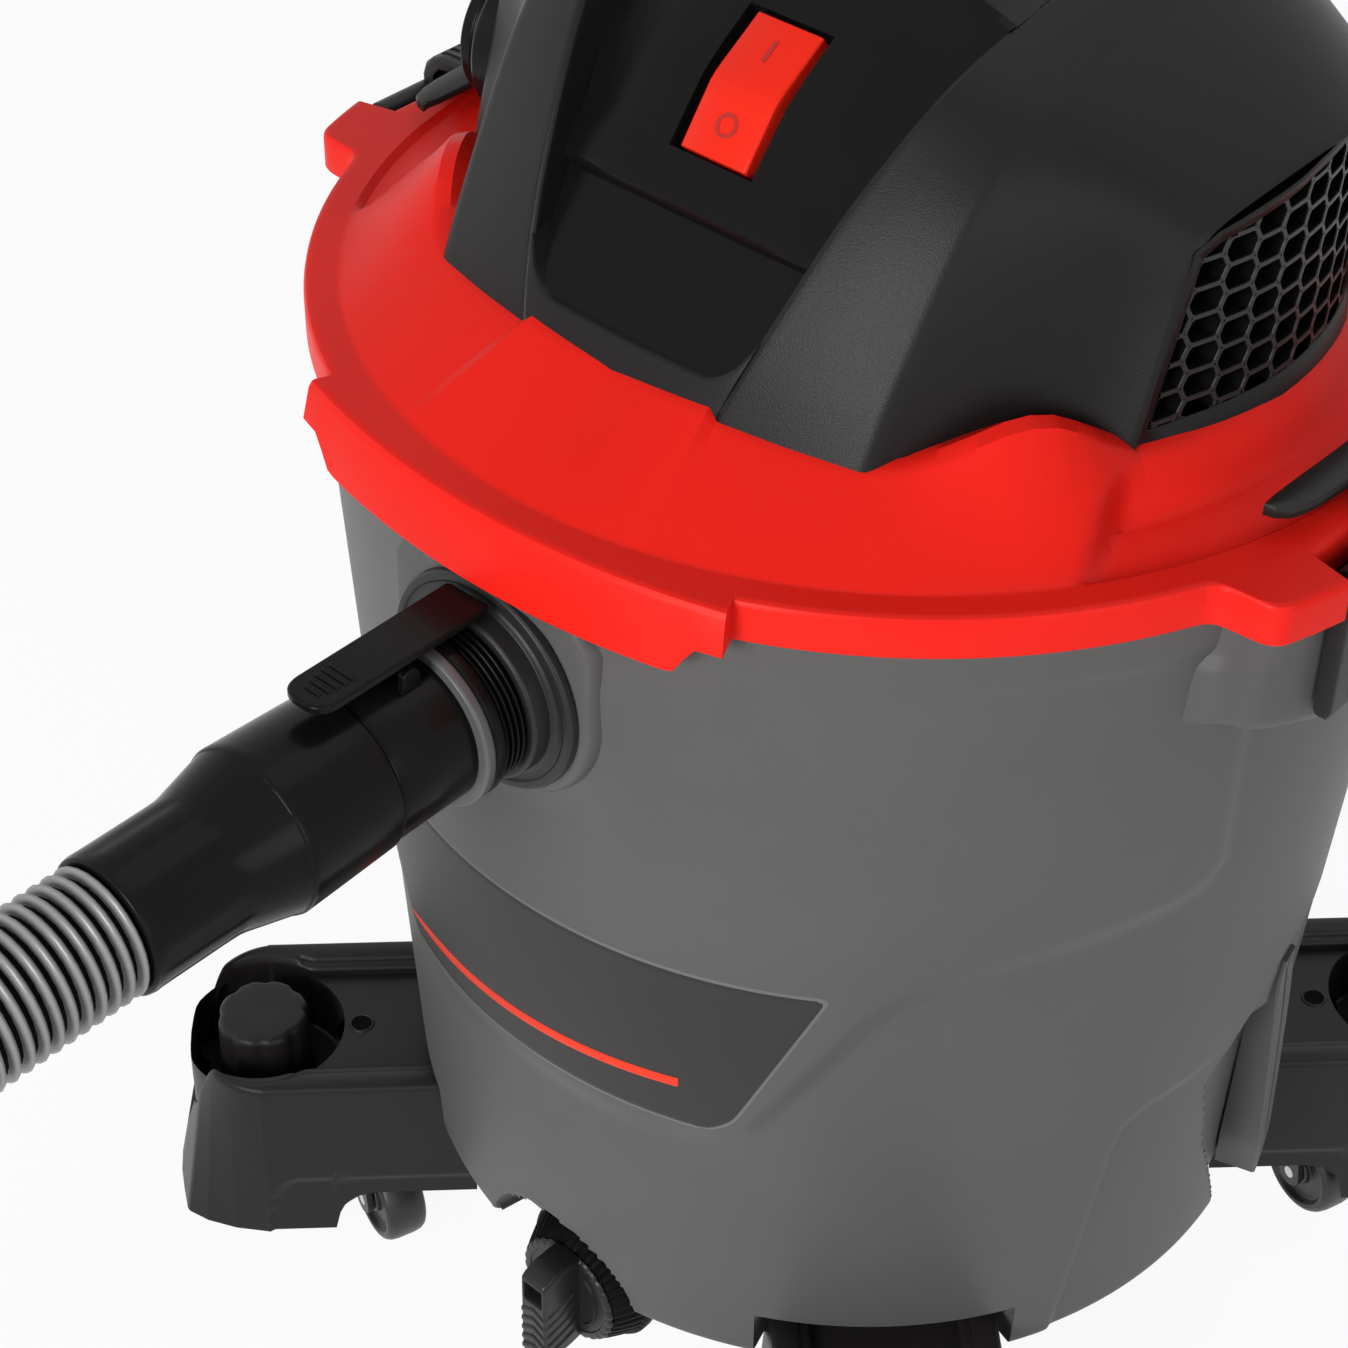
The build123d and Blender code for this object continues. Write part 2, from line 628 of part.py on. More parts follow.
# Latches: a ribbed lip over the trough, a pin in the tab and an arm down the drum's boss
for side, name in ((1, "right"), (-1, "left")):
    with BuildPart() as latch:
        lip_in = side * (LATCH_PIN_X - 38)
        face_in = side * (LATCH_PIN_X - LATCH_T / 2)
        face_out = side * (LATCH_PIN_X + LATCH_T / 2)
        with BuildSketch(Plane.XZ.offset(-LATCH_Y)):
            with BuildLine():
                Polyline(
                    (face_in, LATCH_PIN_Z - LATCH_DROP + 3), (face_in, LATCH_LIP_Z - LATCH_LIP_T),
                    (lip_in, LATCH_LIP_Z - LATCH_LIP_T + 2), (lip_in, LATCH_LIP_Z + 1),
                    (side * (LATCH_PIN_X - 8), LATCH_LIP_Z), (face_out, LATCH_LIP_Z - 6),
                    (face_out, LATCH_PIN_Z - LATCH_DROP), close=True)
            make_face()
            with Locations((side * LATCH_PIN_X, LATCH_PIN_Z)):
                Circle(2 * LATCH_PIN_R)
                Circle(LATCH_PIN_R + RUN, mode=Mode.SUBTRACT)
        extrude(amount=2 * LATCH_Y)
        with BuildSketch(Plane.XY.offset(LATCH_LIP_Z - 1)):
            with Locations((lip_in - side * 112, 0)):
                Circle(120)
        extrude(amount=-10, mode=Mode.SUBTRACT)
        with BuildSketch(Plane.XY.offset(LATCH_LIP_Z - 1.5)):
            with GridLocations(0, 9, 1, 10):
                with Locations((side * (LATCH_PIN_X - 16), 0)):
                    Rectangle(18, 3)
        extrude(amount=3)
    save(latch, "latch_" + name)

    with BuildPart() as latch_pin:
        with BuildSketch(Plane.XZ.offset(-LATCH_PIN_Y)):
            with Locations((side * LATCH_PIN_X, LATCH_PIN_Z)):
                Circle(LATCH_PIN_R)
        extrude(amount=2 * LATCH_PIN_Y)
    save(latch_pin, "latch_pin_" + name)


# Motor cover: a faceted hood with a console pocket in front and a hand pocket on top
def cover_form(inset):
    """The hood's form, drawn in by a distance."""
    with BuildPart() as form:
        with BuildSketch(Plane.XY.offset(540)):
            Circle(COVER_R - inset)
        extrude(amount=COVER_TOP_Z - inset - 540)
        with BuildSketch(Plane(origin=(0, CROWN_AXIS_Y, 0), x_dir=(1, 0, 0), z_dir=(0, -1, 0))):
            with BuildLine():
                low, mid, top = [(r - inset, z) for r, z in CROWN]
                ThreePointArc(low, mid, top)
                Polyline(top, (120, 760), (0, 760), (0, 530), (low[0], 530), low)
            make_face()
        revolve(axis=Axis((0, CROWN_AXIS_Y, 0), (0, 0, 1)), mode=Mode.INTERSECT)
        with BuildSketch(Plane.XZ):
            with BuildLine():
                Polyline(
                    (-COVER_R, 460), (COVER_R, 460), (COVER_R, SHOULDER_Z - 1.2 * inset),
                    (CREASE[0] - inset / 3, CREASE[1] - inset), (STRIP_IN[0], STRIP_IN[1] - inset),
                    (-STRIP_IN[0], STRIP_IN[1] - inset), (inset / 3 - CREASE[0], CREASE[1] - inset),
                    (-COVER_R, SHOULDER_Z - 1.2 * inset), close=True)
            make_face()
        extrude(amount=240, dir=(0, 1, ROOF_RISE), both=True, mode=Mode.INTERSECT)
        with BuildSketch(Plane.YZ):
            with BuildLine():
                Polyline(
                    (-240, 500), (-240, 705 - inset), (60 - inset / 2, 705 - inset),
                    (120 - inset, 664 - inset / 2), (162 - inset, 575), (164 - inset, 500), close=True)
            make_face()
        extrude(amount=240, both=True, mode=Mode.INTERSECT)
        for sx in (1, -1):
            for sy in (1, -1):
                out = Vector(sx * CHEEK_TURN[0], sy * CHEEK_TURN[1], CHEEK_TURN[2]).normalized()
                at = Vector(sx * CHEEK_AT[0], sy * CHEEK_AT[1], CHEEK_AT[2]) - out * inset
                split(bisect_by=Plane(origin=at, z_dir=out), keep=Keep.BOTTOM)
    return form.part


def console_form(grow):
    """The pocket in front of the console, made larger by a distance."""
    back = shifted(CONSOLE, (PANEL_IN[0] + 0.7 * grow, PANEL_IN[1] - 0.7 * grow))
    with BuildPart() as form:
        add(along_y([(-260, back[0][1])] + back + [(-260, 700)], 120))
        with BuildSketch(Plane.XZ):
            with BuildLine():
                low, high = CONSOLE_LOW + grow, CONSOLE_HIGH + grow
                Polyline((-low, 575 - grow), (low, 575 - grow), (high, 690 + grow), (-high, 690 + grow),
                         close=True)
            make_face()
        extrude(amount=280, both=True, mode=Mode.INTERSECT)
    return form.part


def hand_form(grow):
    """The pocket under the carry handle, made larger by a distance."""
    front, back, floor = HANDLE_POCKET
    with BuildPart() as form:
        with BuildSketch(Plane.XY.offset(floor - grow)):
            with Locations((0, (front + back) / 2)):
                Rectangle(2 * (HANDLE_X + grow), back - front + 2 * grow)
        extrude(amount=120)
    return form.part


rocker_outline = list(ROCKER) + shifted(ROCKER, ROCKER_IN)[::-1]
pivot = shifted(ROCKER, ROCKER_IN)[1]

with BuildPart() as rocker_well:
    with BuildSketch(Plane.YZ):
        with BuildLine():
            Polyline(*(shifted(ROCKER, (-8, 10)) + shifted(ROCKER, (13, -16))[::-1]), close=True)
        make_face()
        offset(amount=ROCKER_GAP)
    extrude(amount=ROCKER_X + ROCKER_GAP / 2, both=True)

with BuildPart() as cover_hollow:
    add(cover_form(WALL))
    add(console_form(WALL), mode=Mode.SUBTRACT)
    add(hand_form(WALL), mode=Mode.SUBTRACT)

with BuildPart() as grille_window:
    with BuildSketch(Plane.YZ.offset(140)):
        with Locations((sum(GRILLE_Y) / 2, sum(GRILLE_Z) / 2)):
            Rectangle(GRILLE_Y[1] - GRILLE_Y[0], GRILLE_Z[1] - GRILLE_Z[0])
    extrude(amount=60)

with BuildPart() as motor_cover:
    add(cover_form(0))
    add(console_form(0), mode=Mode.SUBTRACT)
    add(hand_form(0), mode=Mode.SUBTRACT)
    add(cover_hollow.part, mode=Mode.SUBTRACT)
    add(lid_form, mode=Mode.SUBTRACT)
    add(rocker_well.part, mode=Mode.SUBTRACT)
    add(grille_window.part, mode=Mode.SUBTRACT)
    with BuildSketch(Plane.YZ.offset(BLOWER_END)):
        with Locations((BLOWER_Y, BLOWER_Z)):
            Circle(BLOWER_R)
    extrude(amount=45, mode=Mode.SUBTRACT)
    with BuildSketch(Plane.XZ.offset(-190)):
        with Locations((0, 596)):
            Circle(9)
    extrude(amount=50, mode=Mode.SUBTRACT)
save(motor_cover, "motor_cover")

with BuildPart() as switch_panel:
    front = list(CONSOLE[:-1])
    add(along_y(front + shifted(front, PANEL_IN)[::-1], 120))
    add(console_form(0), mode=Mode.INTERSECT)
    add(cover_form(0.5), mode=Mode.INTERSECT)
    add(rocker_well.part, mode=Mode.SUBTRACT)
save(switch_panel, "switch_panel")

with BuildPart() as power_switch:
    add(along_y(rocker_outline, ROCKER_X))
    with BuildSketch(Plane.YZ.offset(-ROCKER_X)):
        with Locations(pivot):
            Circle(4)
    extrude(amount=2 * ROCKER_X)
save(power_switch, "power_switch")

with BuildPart() as switch_body:
    seat = shifted(CONSOLE[3:6], (PANEL_IN[0] + 0.7 * WALL, PANEL_IN[1] - 0.7 * WALL))
    add(along_y(seat + shifted(seat, (16, -21))[::-1], ROCKER_X + WALL))
    add(rocker_well.part, mode=Mode.SUBTRACT)
save(switch_body, "switch_body")

with BuildPart() as carry_handle:
    with BuildSketch(Plane.YZ.offset(-HANDLE_X)):
        with Locations((18, 688)):
            RectangleRounded(30, 24, 9)
    extrude(amount=2 * HANDLE_X)
save(carry_handle, "carry_handle")

with BuildPart() as vent_grille:
    add(ring(COVER_R, COVER_R - WALL, *GRILLE_Z))
    add(grille_window.part, mode=Mode.INTERSECT)
    with BuildSketch(Plane.YZ.offset(140)):
        with Locations((sum(GRILLE_Y) / 2, sum(GRILLE_Z) / 2)):
            with HexLocations(HEX_APOTHEM, 7, 4):
                RegularPolygon(HEX_R, 6)
    extrude(amount=60, mode=Mode.SUBTRACT)
save(vent_grille, "vent_grille")

with BuildPart() as blower_port:
    with BuildSketch(Plane.YZ.offset(BLOWER_END)):
        with Locations((BLOWER_Y, BLOWER_Z)):
            Circle(BLOWER_R)
            Circle(BLOWER_BORE_R, mode=Mode.SUBTRACT)
    extrude(amount=35)
save(blower_port, "blower_port")

with BuildPart() as cord_gland:
    with BuildSketch(Plane.XZ.offset(-184)):
        with Locations((0, 596)):
            Circle(9)
            Circle(4.2, mode=Mode.SUBTRACT)
    extrude(amount=44)
save(cord_gland, "cord_gland")

# Motor and blower
bearing_low = DECK_Z - DECK_T - CASE_WALL
bearing_high = MOTOR_TOP - CASE_WALL - 2

with BuildPart() as fan_housing:
    add(turned([
        (FAN_INLET_R, FAN_CASE_LOW), (FAN_CASE_R, FAN_CASE_LOW), (FAN_CASE_R, DECK_Z - DECK_T),
        (BEARING_R, DECK_Z - DECK_T), (BEARING_R, bearing_low), (FAN_CASE_R - CASE_WALL, bearing_low),
        (FAN_CASE_R - CASE_WALL, FAN_CASE_LOW + CASE_WALL), (FAN_INLET_R, FAN_CASE_LOW + CASE_WALL)]))
    with BuildSketch(Plane.XY.offset(bearing_low)):
        with PolarLocations(68, 6):
            Circle(7)
    extrude(amount=CASE_WALL, mode=Mode.SUBTRACT)
save(fan_housing, "fan_housing")

with BuildPart() as impeller:
    add(ring(IMPELLER_R, SHAFT_R, 536, 539))
    add(ring(IMPELLER_R, FAN_INLET_R + 2, 508, 511))
    add(ring(10, SHAFT_R, 512, 540))
    with BuildSketch(Plane.XY.offset(511)):
        with PolarLocations(50, 8):
            Rectangle(40, 2.4, rotation=35)
    extrude(amount=25)
save(impeller, "impeller")

with BuildPart() as armature:
    with BuildSketch(Plane.XY.offset(SHAFT_LOW)):
        Circle(SHAFT_R)
    extrude(amount=COOLING_Z[1] + 1 - SHAFT_LOW)
    with BuildSketch(Plane.XY.offset(CORE_Z[0])):
        Circle(CORE_R)
        with PolarLocations(CORE_R - 1.5, 12):
            Rectangle(7, 3, mode=Mode.SUBTRACT)
    extrude(amount=CORE_Z[1] - CORE_Z[0])
save(armature, "armature")

with BuildPart() as armature_winding:
    add(ring(CORE_R - 5, SHAFT_R, CORE_Z[0] - 5, CORE_Z[0]))
    add(ring(CORE_R - 5, SHAFT_R, CORE_Z[1], CORE_Z[1] + 4))
save(armature_winding, "armature_winding")

with BuildPart() as commutator:
    add(ring(COMMUTATOR_R, SHAFT_R, *COMMUTATOR_Z))
save(commutator, "commutator")

with BuildPart() as cooling_fan:
    add(ring(10, SHAFT_R, *COOLING_Z))
    add(ring(COOLING_R, SHAFT_R, COOLING_Z[0], COOLING_Z[0] + 2))
    with BuildSketch(Plane.XY.offset(COOLING_Z[0])):
        with PolarLocations(26, 10):
            Rectangle(33, 2)
    extrude(amount=COOLING_Z[1] - COOLING_Z[0])
save(cooling_fan, "cooling_fan")

for low, name in ((bearing_low, "lower_bearing"), (bearing_high, "upper_bearing")):
    with BuildPart() as bearing:
        add(ring(BEARING_R, SHAFT_R + RUN, low, low + BEARING_T))
    save(bearing, name)

with BuildPart() as motor_gasket:
    add(ring(MOTOR_R + 3, MOTOR_R - 5, DECK_Z, DECK_Z + MOTOR_GASKET_T))
save(motor_gasket, "motor_gasket")

with BuildPart() as motor_housing:
    add(turned([
        (MOTOR_R - CASE_WALL, DECK_Z + MOTOR_GASKET_T), (MOTOR_R, DECK_Z + MOTOR_GASKET_T),
        (MOTOR_R, MOTOR_TOP), (BEARING_R, MOTOR_TOP), (BEARING_R, MOTOR_TOP - CASE_WALL),
        (MOTOR_R - CASE_WALL, MOTOR_TOP - CASE_WALL)]))
    with BuildSketch(Plane.XY.offset(MOTOR_TOP - CASE_WALL)):
        with PolarLocations(32, 6):
            Circle(8)
    extrude(amount=CASE_WALL, mode=Mode.SUBTRACT)
save(motor_housing, "motor_housing")

with BuildPart() as stator:
    add(ring(MOTOR_R - CASE_WALL, CORE_R + STATOR_AIR, CORE_Z[0] - 2, CORE_Z[1] + 2))
    with BuildSketch(Plane.XY.offset(CORE_Z[0] - 2)):
        with Locations((38, 0), (-38, 0)):
            Rectangle(9, 34)
    extrude(amount=40, mode=Mode.SUBTRACT)
save(stator, "stator")

with BuildPart() as field_coils:
    with BuildSketch(Plane.XY.offset(CORE_Z[0] - 4)):
        with Locations((38, 0), (-38, 0)):
            Rectangle(9, 34)
    extrude(amount=CORE_Z[1] - CORE_Z[0] + 8)
save(field_coils, "field_coils")

with BuildPart() as brush_holders:
    for side in (1, -1):
        with BuildSketch(Plane.YZ.offset(side * (COMMUTATOR_R + GAP))):
            with Locations((0, sum(COMMUTATOR_Z) / 2)):
                Rectangle(9, 7)
        extrude(amount=side * (MOTOR_R - CASE_WALL - COMMUTATOR_R - 2 * GAP))
save(brush_holders, "brush_holders")

# Filter: a cage with its float, the pleated element, its end rings and a wing nut
ball_z = CAGE_LOW + 4 + GAP + BALL_R
seat_z = FAN_CASE_LOW - 4

with BuildPart() as filter_cage:
    add(ring(CAGE_R + 4, FAN_INLET_R, seat_z, FAN_CASE_LOW))
    add(ring(CAGE_R, CAGE_R - 4, (CAGE_LOW + seat_z) / 2 - 3, (CAGE_LOW + seat_z) / 2 + 3))
    with BuildSketch(Plane.XY.offset(CAGE_LOW)):
        with PolarLocations(CAGE_R - 2, CAGE_RIBS):
            Rectangle(4, 6)
    extrude(amount=seat_z - CAGE_LOW)
    with BuildSketch(Plane.XY.offset(CAGE_LOW)):
        Circle(CAGE_R)
    extrude(amount=4)
    with BuildSketch(Plane.XY.offset(CAGE_LOW)):
        Circle(STUD_R)
    extrude(amount=-END_RING_T - NUT_T - 6)
save(filter_cage, "filter_cage")

with BuildPart() as float_ball:
    with Locations((0, 0, ball_z)):
        Sphere(BALL_R)
save(float_ball, "float_ball")

with BuildPart() as filter_element:
    star = []
    for k in range(2 * PLEATS):
        reach = PLEAT_OUT if k % 2 else PLEAT_OUT - 9
        star.append((reach * math.cos(math.pi * k / PLEATS), reach * math.sin(math.pi * k / PLEATS)))
    with BuildSketch(Plane.XY.offset(CAGE_LOW)):
        with BuildLine():
            Polyline(*star, close=True)
        make_face()
        Circle(PLEAT_IN, mode=Mode.SUBTRACT)
    extrude(amount=FILTER_TOP - CAGE_LOW)
save(filter_element, "filter_element")

with BuildPart() as filter_end_rings:
    add(ring(END_RING_R, CAGE_R + 4, FILTER_TOP, FAN_CASE_LOW))
    add(ring(END_RING_R, STUD_R, CAGE_LOW - END_RING_T, CAGE_LOW))
save(filter_end_rings, "filter_end_rings")

with BuildPart() as filter_nut:
    nut_top = CAGE_LOW - END_RING_T - GAP
    add(ring(NUT_R, STUD_R + RUN, nut_top - NUT_T, nut_top))
    with BuildSketch(Plane.XY.offset(nut_top - NUT_T)):
        with Locations((26, 0), (-26, 0)):
            Rectangle(20, 7)
    extrude(amount=NUT_T)
save(filter_nut, "filter_nut")

# Hose: connector with its lock tab, cuff, ribbed hose and end cuff
spigot_r = PORT_BORE_R - GAP
with BuildPart() as hose_connector:
    add(turned_y([
        (-212, 25), (-212, spigot_r), (PORT_END - GAP, spigot_r), (PORT_END - GAP, 34),
        (-252, 34), (-252, 34.8), (-262, 34.8), (-262, 30.5), (CONNECTOR_END, 30.5),
        (CONNECTOR_END, 25)], INLET_Z))
    for side in (1, -1):
        with BuildSketch(Plane.YZ.offset(side * 8)):
            with Locations((-274, INLET_Z + 31)):
                Rectangle(10, 14)
            with Locations((-274, INLET_Z + 34)):
                Circle(1.5, mode=Mode.SUBTRACT)
        extrude(amount=side * 3)
save(hose_connector, "hose_connector")

with BuildPart() as hose_lock_tab:
    tab_z = INLET_Z + 39.5
    add(along_y([
        (-235, tab_z), (-235, tab_z + 4), (-316, tab_z + 4), (-316, tab_z)], 10.5))
    with BuildSketch(Plane.YZ.offset(-8 + GAP)):
        with Locations((-274, INLET_Z + 34)):
            Circle(1.5 - RUN)
            with Locations((0, 3)):
                Rectangle(5, 8)
    extrude(amount=16 - 2 * GAP)
    fillet(hose_lock_tab.edges().filter_by(Axis.Z).group_by(Axis.Y)[0], radius=8)
    with BuildSketch(Plane.YZ.offset(-11)):
        with Locations((-274, INLET_Z + 34)):
            Circle(1.5 - RUN)
    extrude(amount=22)
save(hose_lock_tab, "hose_lock_tab")

with BuildPart() as hose_cuff:
    add(turned_y([
        (CONNECTOR_END, 25), (CONNECTOR_END, 31.5), (-340, 33), (-364, 26.6), (CUFF_END, 26.2),
        (CUFF_END, HOSE_BORE_R), (-372, HOSE_BORE_R), (-352, 25)], INLET_Z))
save(hose_cuff, "hose_cuff")


def smooth_path(points):
    """Straight runs joined by tangent arcs through the corner points."""
    spots = [Vector(*p) for p in points]
    radii = []
    for before, at, after in zip(spots, spots[1:], spots[2:]):
        one, two = at - before, after - at
        bend = math.radians(one.get_angle(two))
        radii.append(0.45 * min(one.length, two.length) / math.tan(bend / 2))
    with BuildLine() as path:
        FilletPolyline(*spots, radius=radii)
    return path.wires()[0]


def stations(path, first, ribs, x_dir):
    """The planes and radii of a ribbed tube's sections along a path."""
    found = []
    for rib in range(first, first + ribs):
        for share, radius in RIB:
            t = (rib + share) / HOSE_RIBS
            found.append((Plane(origin=path @ t, x_dir=x_dir, z_dir=path % t), radius))
    t = (first + ribs) / HOSE_RIBS
    found.append((Plane(origin=path @ t, x_dir=x_dir, z_dir=path % t), HOSE_GROOVE_R))
    return found


loop_mid = Vector(HOSE_ROUTE[-1][0] + LOOP_R, LOOP_MID_Y, 0)
corner_r = LOOP_R / math.cos(math.radians(LOOP_STEP / 2))
hose_points = list(HOSE_ROUTE)
for k in range(LOOP_STEPS):
    around = math.radians(180 + LOOP_STEP * (k + 0.5))
    lift = (END_CUFF_R + 0.5 - FLOOR_Z) * k / (LOOP_STEPS - 1)
    hose_points.append((
        loop_mid.X + corner_r * math.cos(around), loop_mid.Y + corner_r * math.sin(around),
        FLOOR_Z + lift))
last = math.radians(180 + LOOP_STEP * LOOP_STEPS)
end_way = Vector(-math.sin(last), math.cos(last), 0)
end_at = loop_mid + Vector(LOOP_R * math.cos(last), LOOP_R * math.sin(last), END_CUFF_R + 0.5)
end_at += end_way * END_STRAIGHT
hose_points.append((end_at.X, end_at.Y, end_at.Z))

hose_path = smooth_path(hose_points)
run_ribs = round(HOSE_RIBS * RUN_SHARE)
run_x = Vector(0.8597, 0, -0.5109)
coil_x = Vector(0, 0, 1)

with BuildPart() as hose_run:
    sections = stations(hose_path, 0, run_ribs, run_x)
    for plane, radius in sections:
        with BuildSketch(plane):
            Circle(radius)
    loft(ruled=True)
    for plane, radius in sections[::4]:
        with BuildSketch(plane):
            Circle(HOSE_BORE_R)
    loft(ruled=True, mode=Mode.SUBTRACT)
save(hose_run, "hose_run")

with BuildPart() as hose_coil:
    sections = stations(hose_path, run_ribs, HOSE_RIBS - run_ribs, coil_x)
    for plane, radius in sections:
        with BuildSketch(plane):
            Circle(radius)
    loft(ruled=True)
    for plane, radius in sections[::4]:
        with BuildSketch(plane):
            Circle(HOSE_BORE_R)
    loft(ruled=True, mode=Mode.SUBTRACT)
save(hose_coil, "hose_coil")

with BuildPart() as hose_end_cuff:
    with BuildSketch(Plane(origin=end_at, x_dir=coil_x, z_dir=end_way)):
        Circle(END_CUFF_R)
        Circle(END_CUFF_BORE_R, mode=Mode.SUBTRACT)
    extrude(amount=END_CUFF_L)
save(hose_end_cuff, "hose_end_cuff")

# Printed checks of the hose: bend radii, volume against section times length, least self gap
bends = [e.radius for e in hose_path.edges() if e.geom_type == GeomType.CIRCLE]
section = math.pi * (HOSE_R ** 2 * 0.6 + HOSE_GROOVE_R ** 2 * 0.4 - HOSE_BORE_R ** 2)
volume = hose_run.part.volume + hose_coil.part.volume
print("hose length", round(hose_path.length), "bend radii", [round(r) for r in bends])
print("hose volume over section times length", round(volume / (section * hose_path.length), 3))
spots = [hose_path @ (k / 180) for k in range(181)]
step = hose_path.length / 180
least = min(
    (spots[i] - spots[j]).length - 2 * HOSE_R
    for i in range(181) for j in range(i) if (i - j) * step > 8 * HOSE_R)
print("least self gap", round(least, 1))
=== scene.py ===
import json
from math import asin, atan2, copysign, cos, degrees, hypot, pi, radians, sin, sqrt

import bmesh
import bpy
import numpy as np
from bpy.props import FloatProperty, FloatVectorProperty, PointerProperty
from bpy.types import Operator, Panel, PropertyGroup
from mathutils import Matrix, Vector


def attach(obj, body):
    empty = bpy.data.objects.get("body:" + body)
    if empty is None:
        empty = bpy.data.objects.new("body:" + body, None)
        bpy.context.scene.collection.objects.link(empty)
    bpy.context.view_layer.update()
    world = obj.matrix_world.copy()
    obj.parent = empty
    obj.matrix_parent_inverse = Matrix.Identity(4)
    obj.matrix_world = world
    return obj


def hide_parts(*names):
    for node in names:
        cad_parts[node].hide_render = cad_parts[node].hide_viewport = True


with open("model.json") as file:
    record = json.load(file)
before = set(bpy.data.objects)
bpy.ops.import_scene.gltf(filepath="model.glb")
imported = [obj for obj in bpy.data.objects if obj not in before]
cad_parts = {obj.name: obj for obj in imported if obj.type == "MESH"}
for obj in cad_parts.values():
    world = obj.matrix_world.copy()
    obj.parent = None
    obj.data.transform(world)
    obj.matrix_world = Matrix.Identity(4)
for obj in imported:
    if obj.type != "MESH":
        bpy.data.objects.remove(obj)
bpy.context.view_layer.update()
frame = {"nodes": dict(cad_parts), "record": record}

bl_info = {
    "name": "Shop Vacuum",
    "version": (1, 0, 0),
    "blender": (4, 5, 0),
    "location": "3D View > Sidebar > Shop Vacuum",
    "description": "Dresses the shop vacuum's frame with its moulded skins, hose and finishes",
    "category": "Object",
}

MM = 0.001
ARMS = {"front_right": -45.0, "front_left": -135.0, "rear_left": 135.0, "rear_right": 45.0}
INLET_AT = (0, 0, 463)
INLET_Z = INLET_AT[2]
DRAIN_Z = 86.0
ARCH_Z = 99.0
BLOWER_AT = (0, -22, 584)
BLOWER_HOLE = 30.5
ARM_ROOT = 182.0
CASTER_AT = 228.0
RIM_Z = 128.0
ON_DRUM = ("tub", "drum_grey", ("drum",))
ON_COVER = ("lid", "cover_black", ("motor_cover",))
ON_GRILLE = ("lid", "black_plastic", ("vent_grille",))
ON_CONNECTOR = ("hose", "gloss_black", ("hose_connector",))


def colour(name, about, default):
    """A colour setting."""
    return FloatVectorProperty(name=name, description=about, default=default, size=3,
                               subtype="COLOR", min=0.0, max=1.0)


def length(name, about, default):
    """A length setting in metres."""
    return FloatProperty(name=name, description=about, default=default, unit="LENGTH",
                         subtype="DISTANCE", precision=4)


class FinishSettings(PropertyGroup):
    """Colours of the moulded pieces."""
    drum: colour("Drum", "Satin grey of the drum", (0.098, 0.096, 0.095))
    label: colour("Band", "Dark film on the front of the drum", (0.032, 0.03, 0.0295))
    lid: colour("Lid", "Red of the lid", (0.84, 0.015, 0.008))
    switch: colour("Switch", "Red of the rocker", (0.88, 0.022, 0.007))
    cover: colour("Cover", "Matte black of the motor cover", (0.0085, 0.0083, 0.0088))
    gloss: colour("Gloss", "Gloss black of the console and hose cuffs", (0.0065, 0.0058, 0.0058))
    arm: colour("Arms", "Black of the caster arms", (0.0135, 0.012, 0.0115))
    hose: colour("Hose", "Grey of the ribbed hose", (0.24, 0.24, 0.243))
    ring: colour("Ring", "Grey of the connector's ring", (0.1, 0.102, 0.106))


class SizeSettings(PropertyGroup):
    """Sizes that the visible skins are made to."""
    drum_base: length("Drum base radius", "Outside radius at the base", 0.1965)
    drum_top: length("Drum top radius", "Outside radius under the lid", 0.2235)
    drum_low: length("Drum base height", "Height of the base above the floor", 0.1075)
    drum_high: length("Drum top height", "Height of the drum's edge", 0.5306)
    shield: length("Front panel", "Height of the raised front panel", 0.003)
    rim: length("Lid rim radius", "Outside radius of the lid", 0.230)
    flange: length("Flange height", "Height of the flat rim", 0.540)
    hose_radius: length("Hose radius", "Outside radius of the ribs", 0.025)
    rib_pitch: length("Rib pitch", "Distance from rib to rib", 0.0057)


class StageSettings(PropertyGroup):
    """Camera and light."""
    camera_at: FloatVectorProperty(name="Camera", description="Where the camera stands", size=3,
                                   default=(0.6104, -0.8162, 1.16), subtype="TRANSLATION",
                                   unit="LENGTH")
    azimuth: FloatProperty(name="Azimuth", description="Turn of the camera about the object",
                           default=radians(41.70), subtype="ANGLE")
    elevation: FloatProperty(name="Elevation", description="Height angle of the camera",
                             default=radians(37.53), subtype="ANGLE")
    roll: FloatProperty(name="Roll", description="Roll of the camera", default=radians(0.8645),
                        subtype="ANGLE")
    lens: FloatProperty(name="Lens", description="Focal length", default=80.49, unit="CAMERA")
    key: FloatProperty(name="Key light", description="Power of the large light", default=50.0,
                       unit="POWER")
    fill: FloatProperty(name="Fill light", description="Power of the second light", default=10.0,
                        unit="POWER")
    floor: colour("Floor", "Colour of the floor", (0.92, 0.92, 0.92))


def sizes():
    """Sizes in millimetres by name."""
    held = bpy.context.scene.vac_sizes
    return {key: getattr(held, key) / MM for key in SizeSettings.__annotations__}


def colours():
    """The finish settings."""
    return bpy.context.scene.vac_finishes


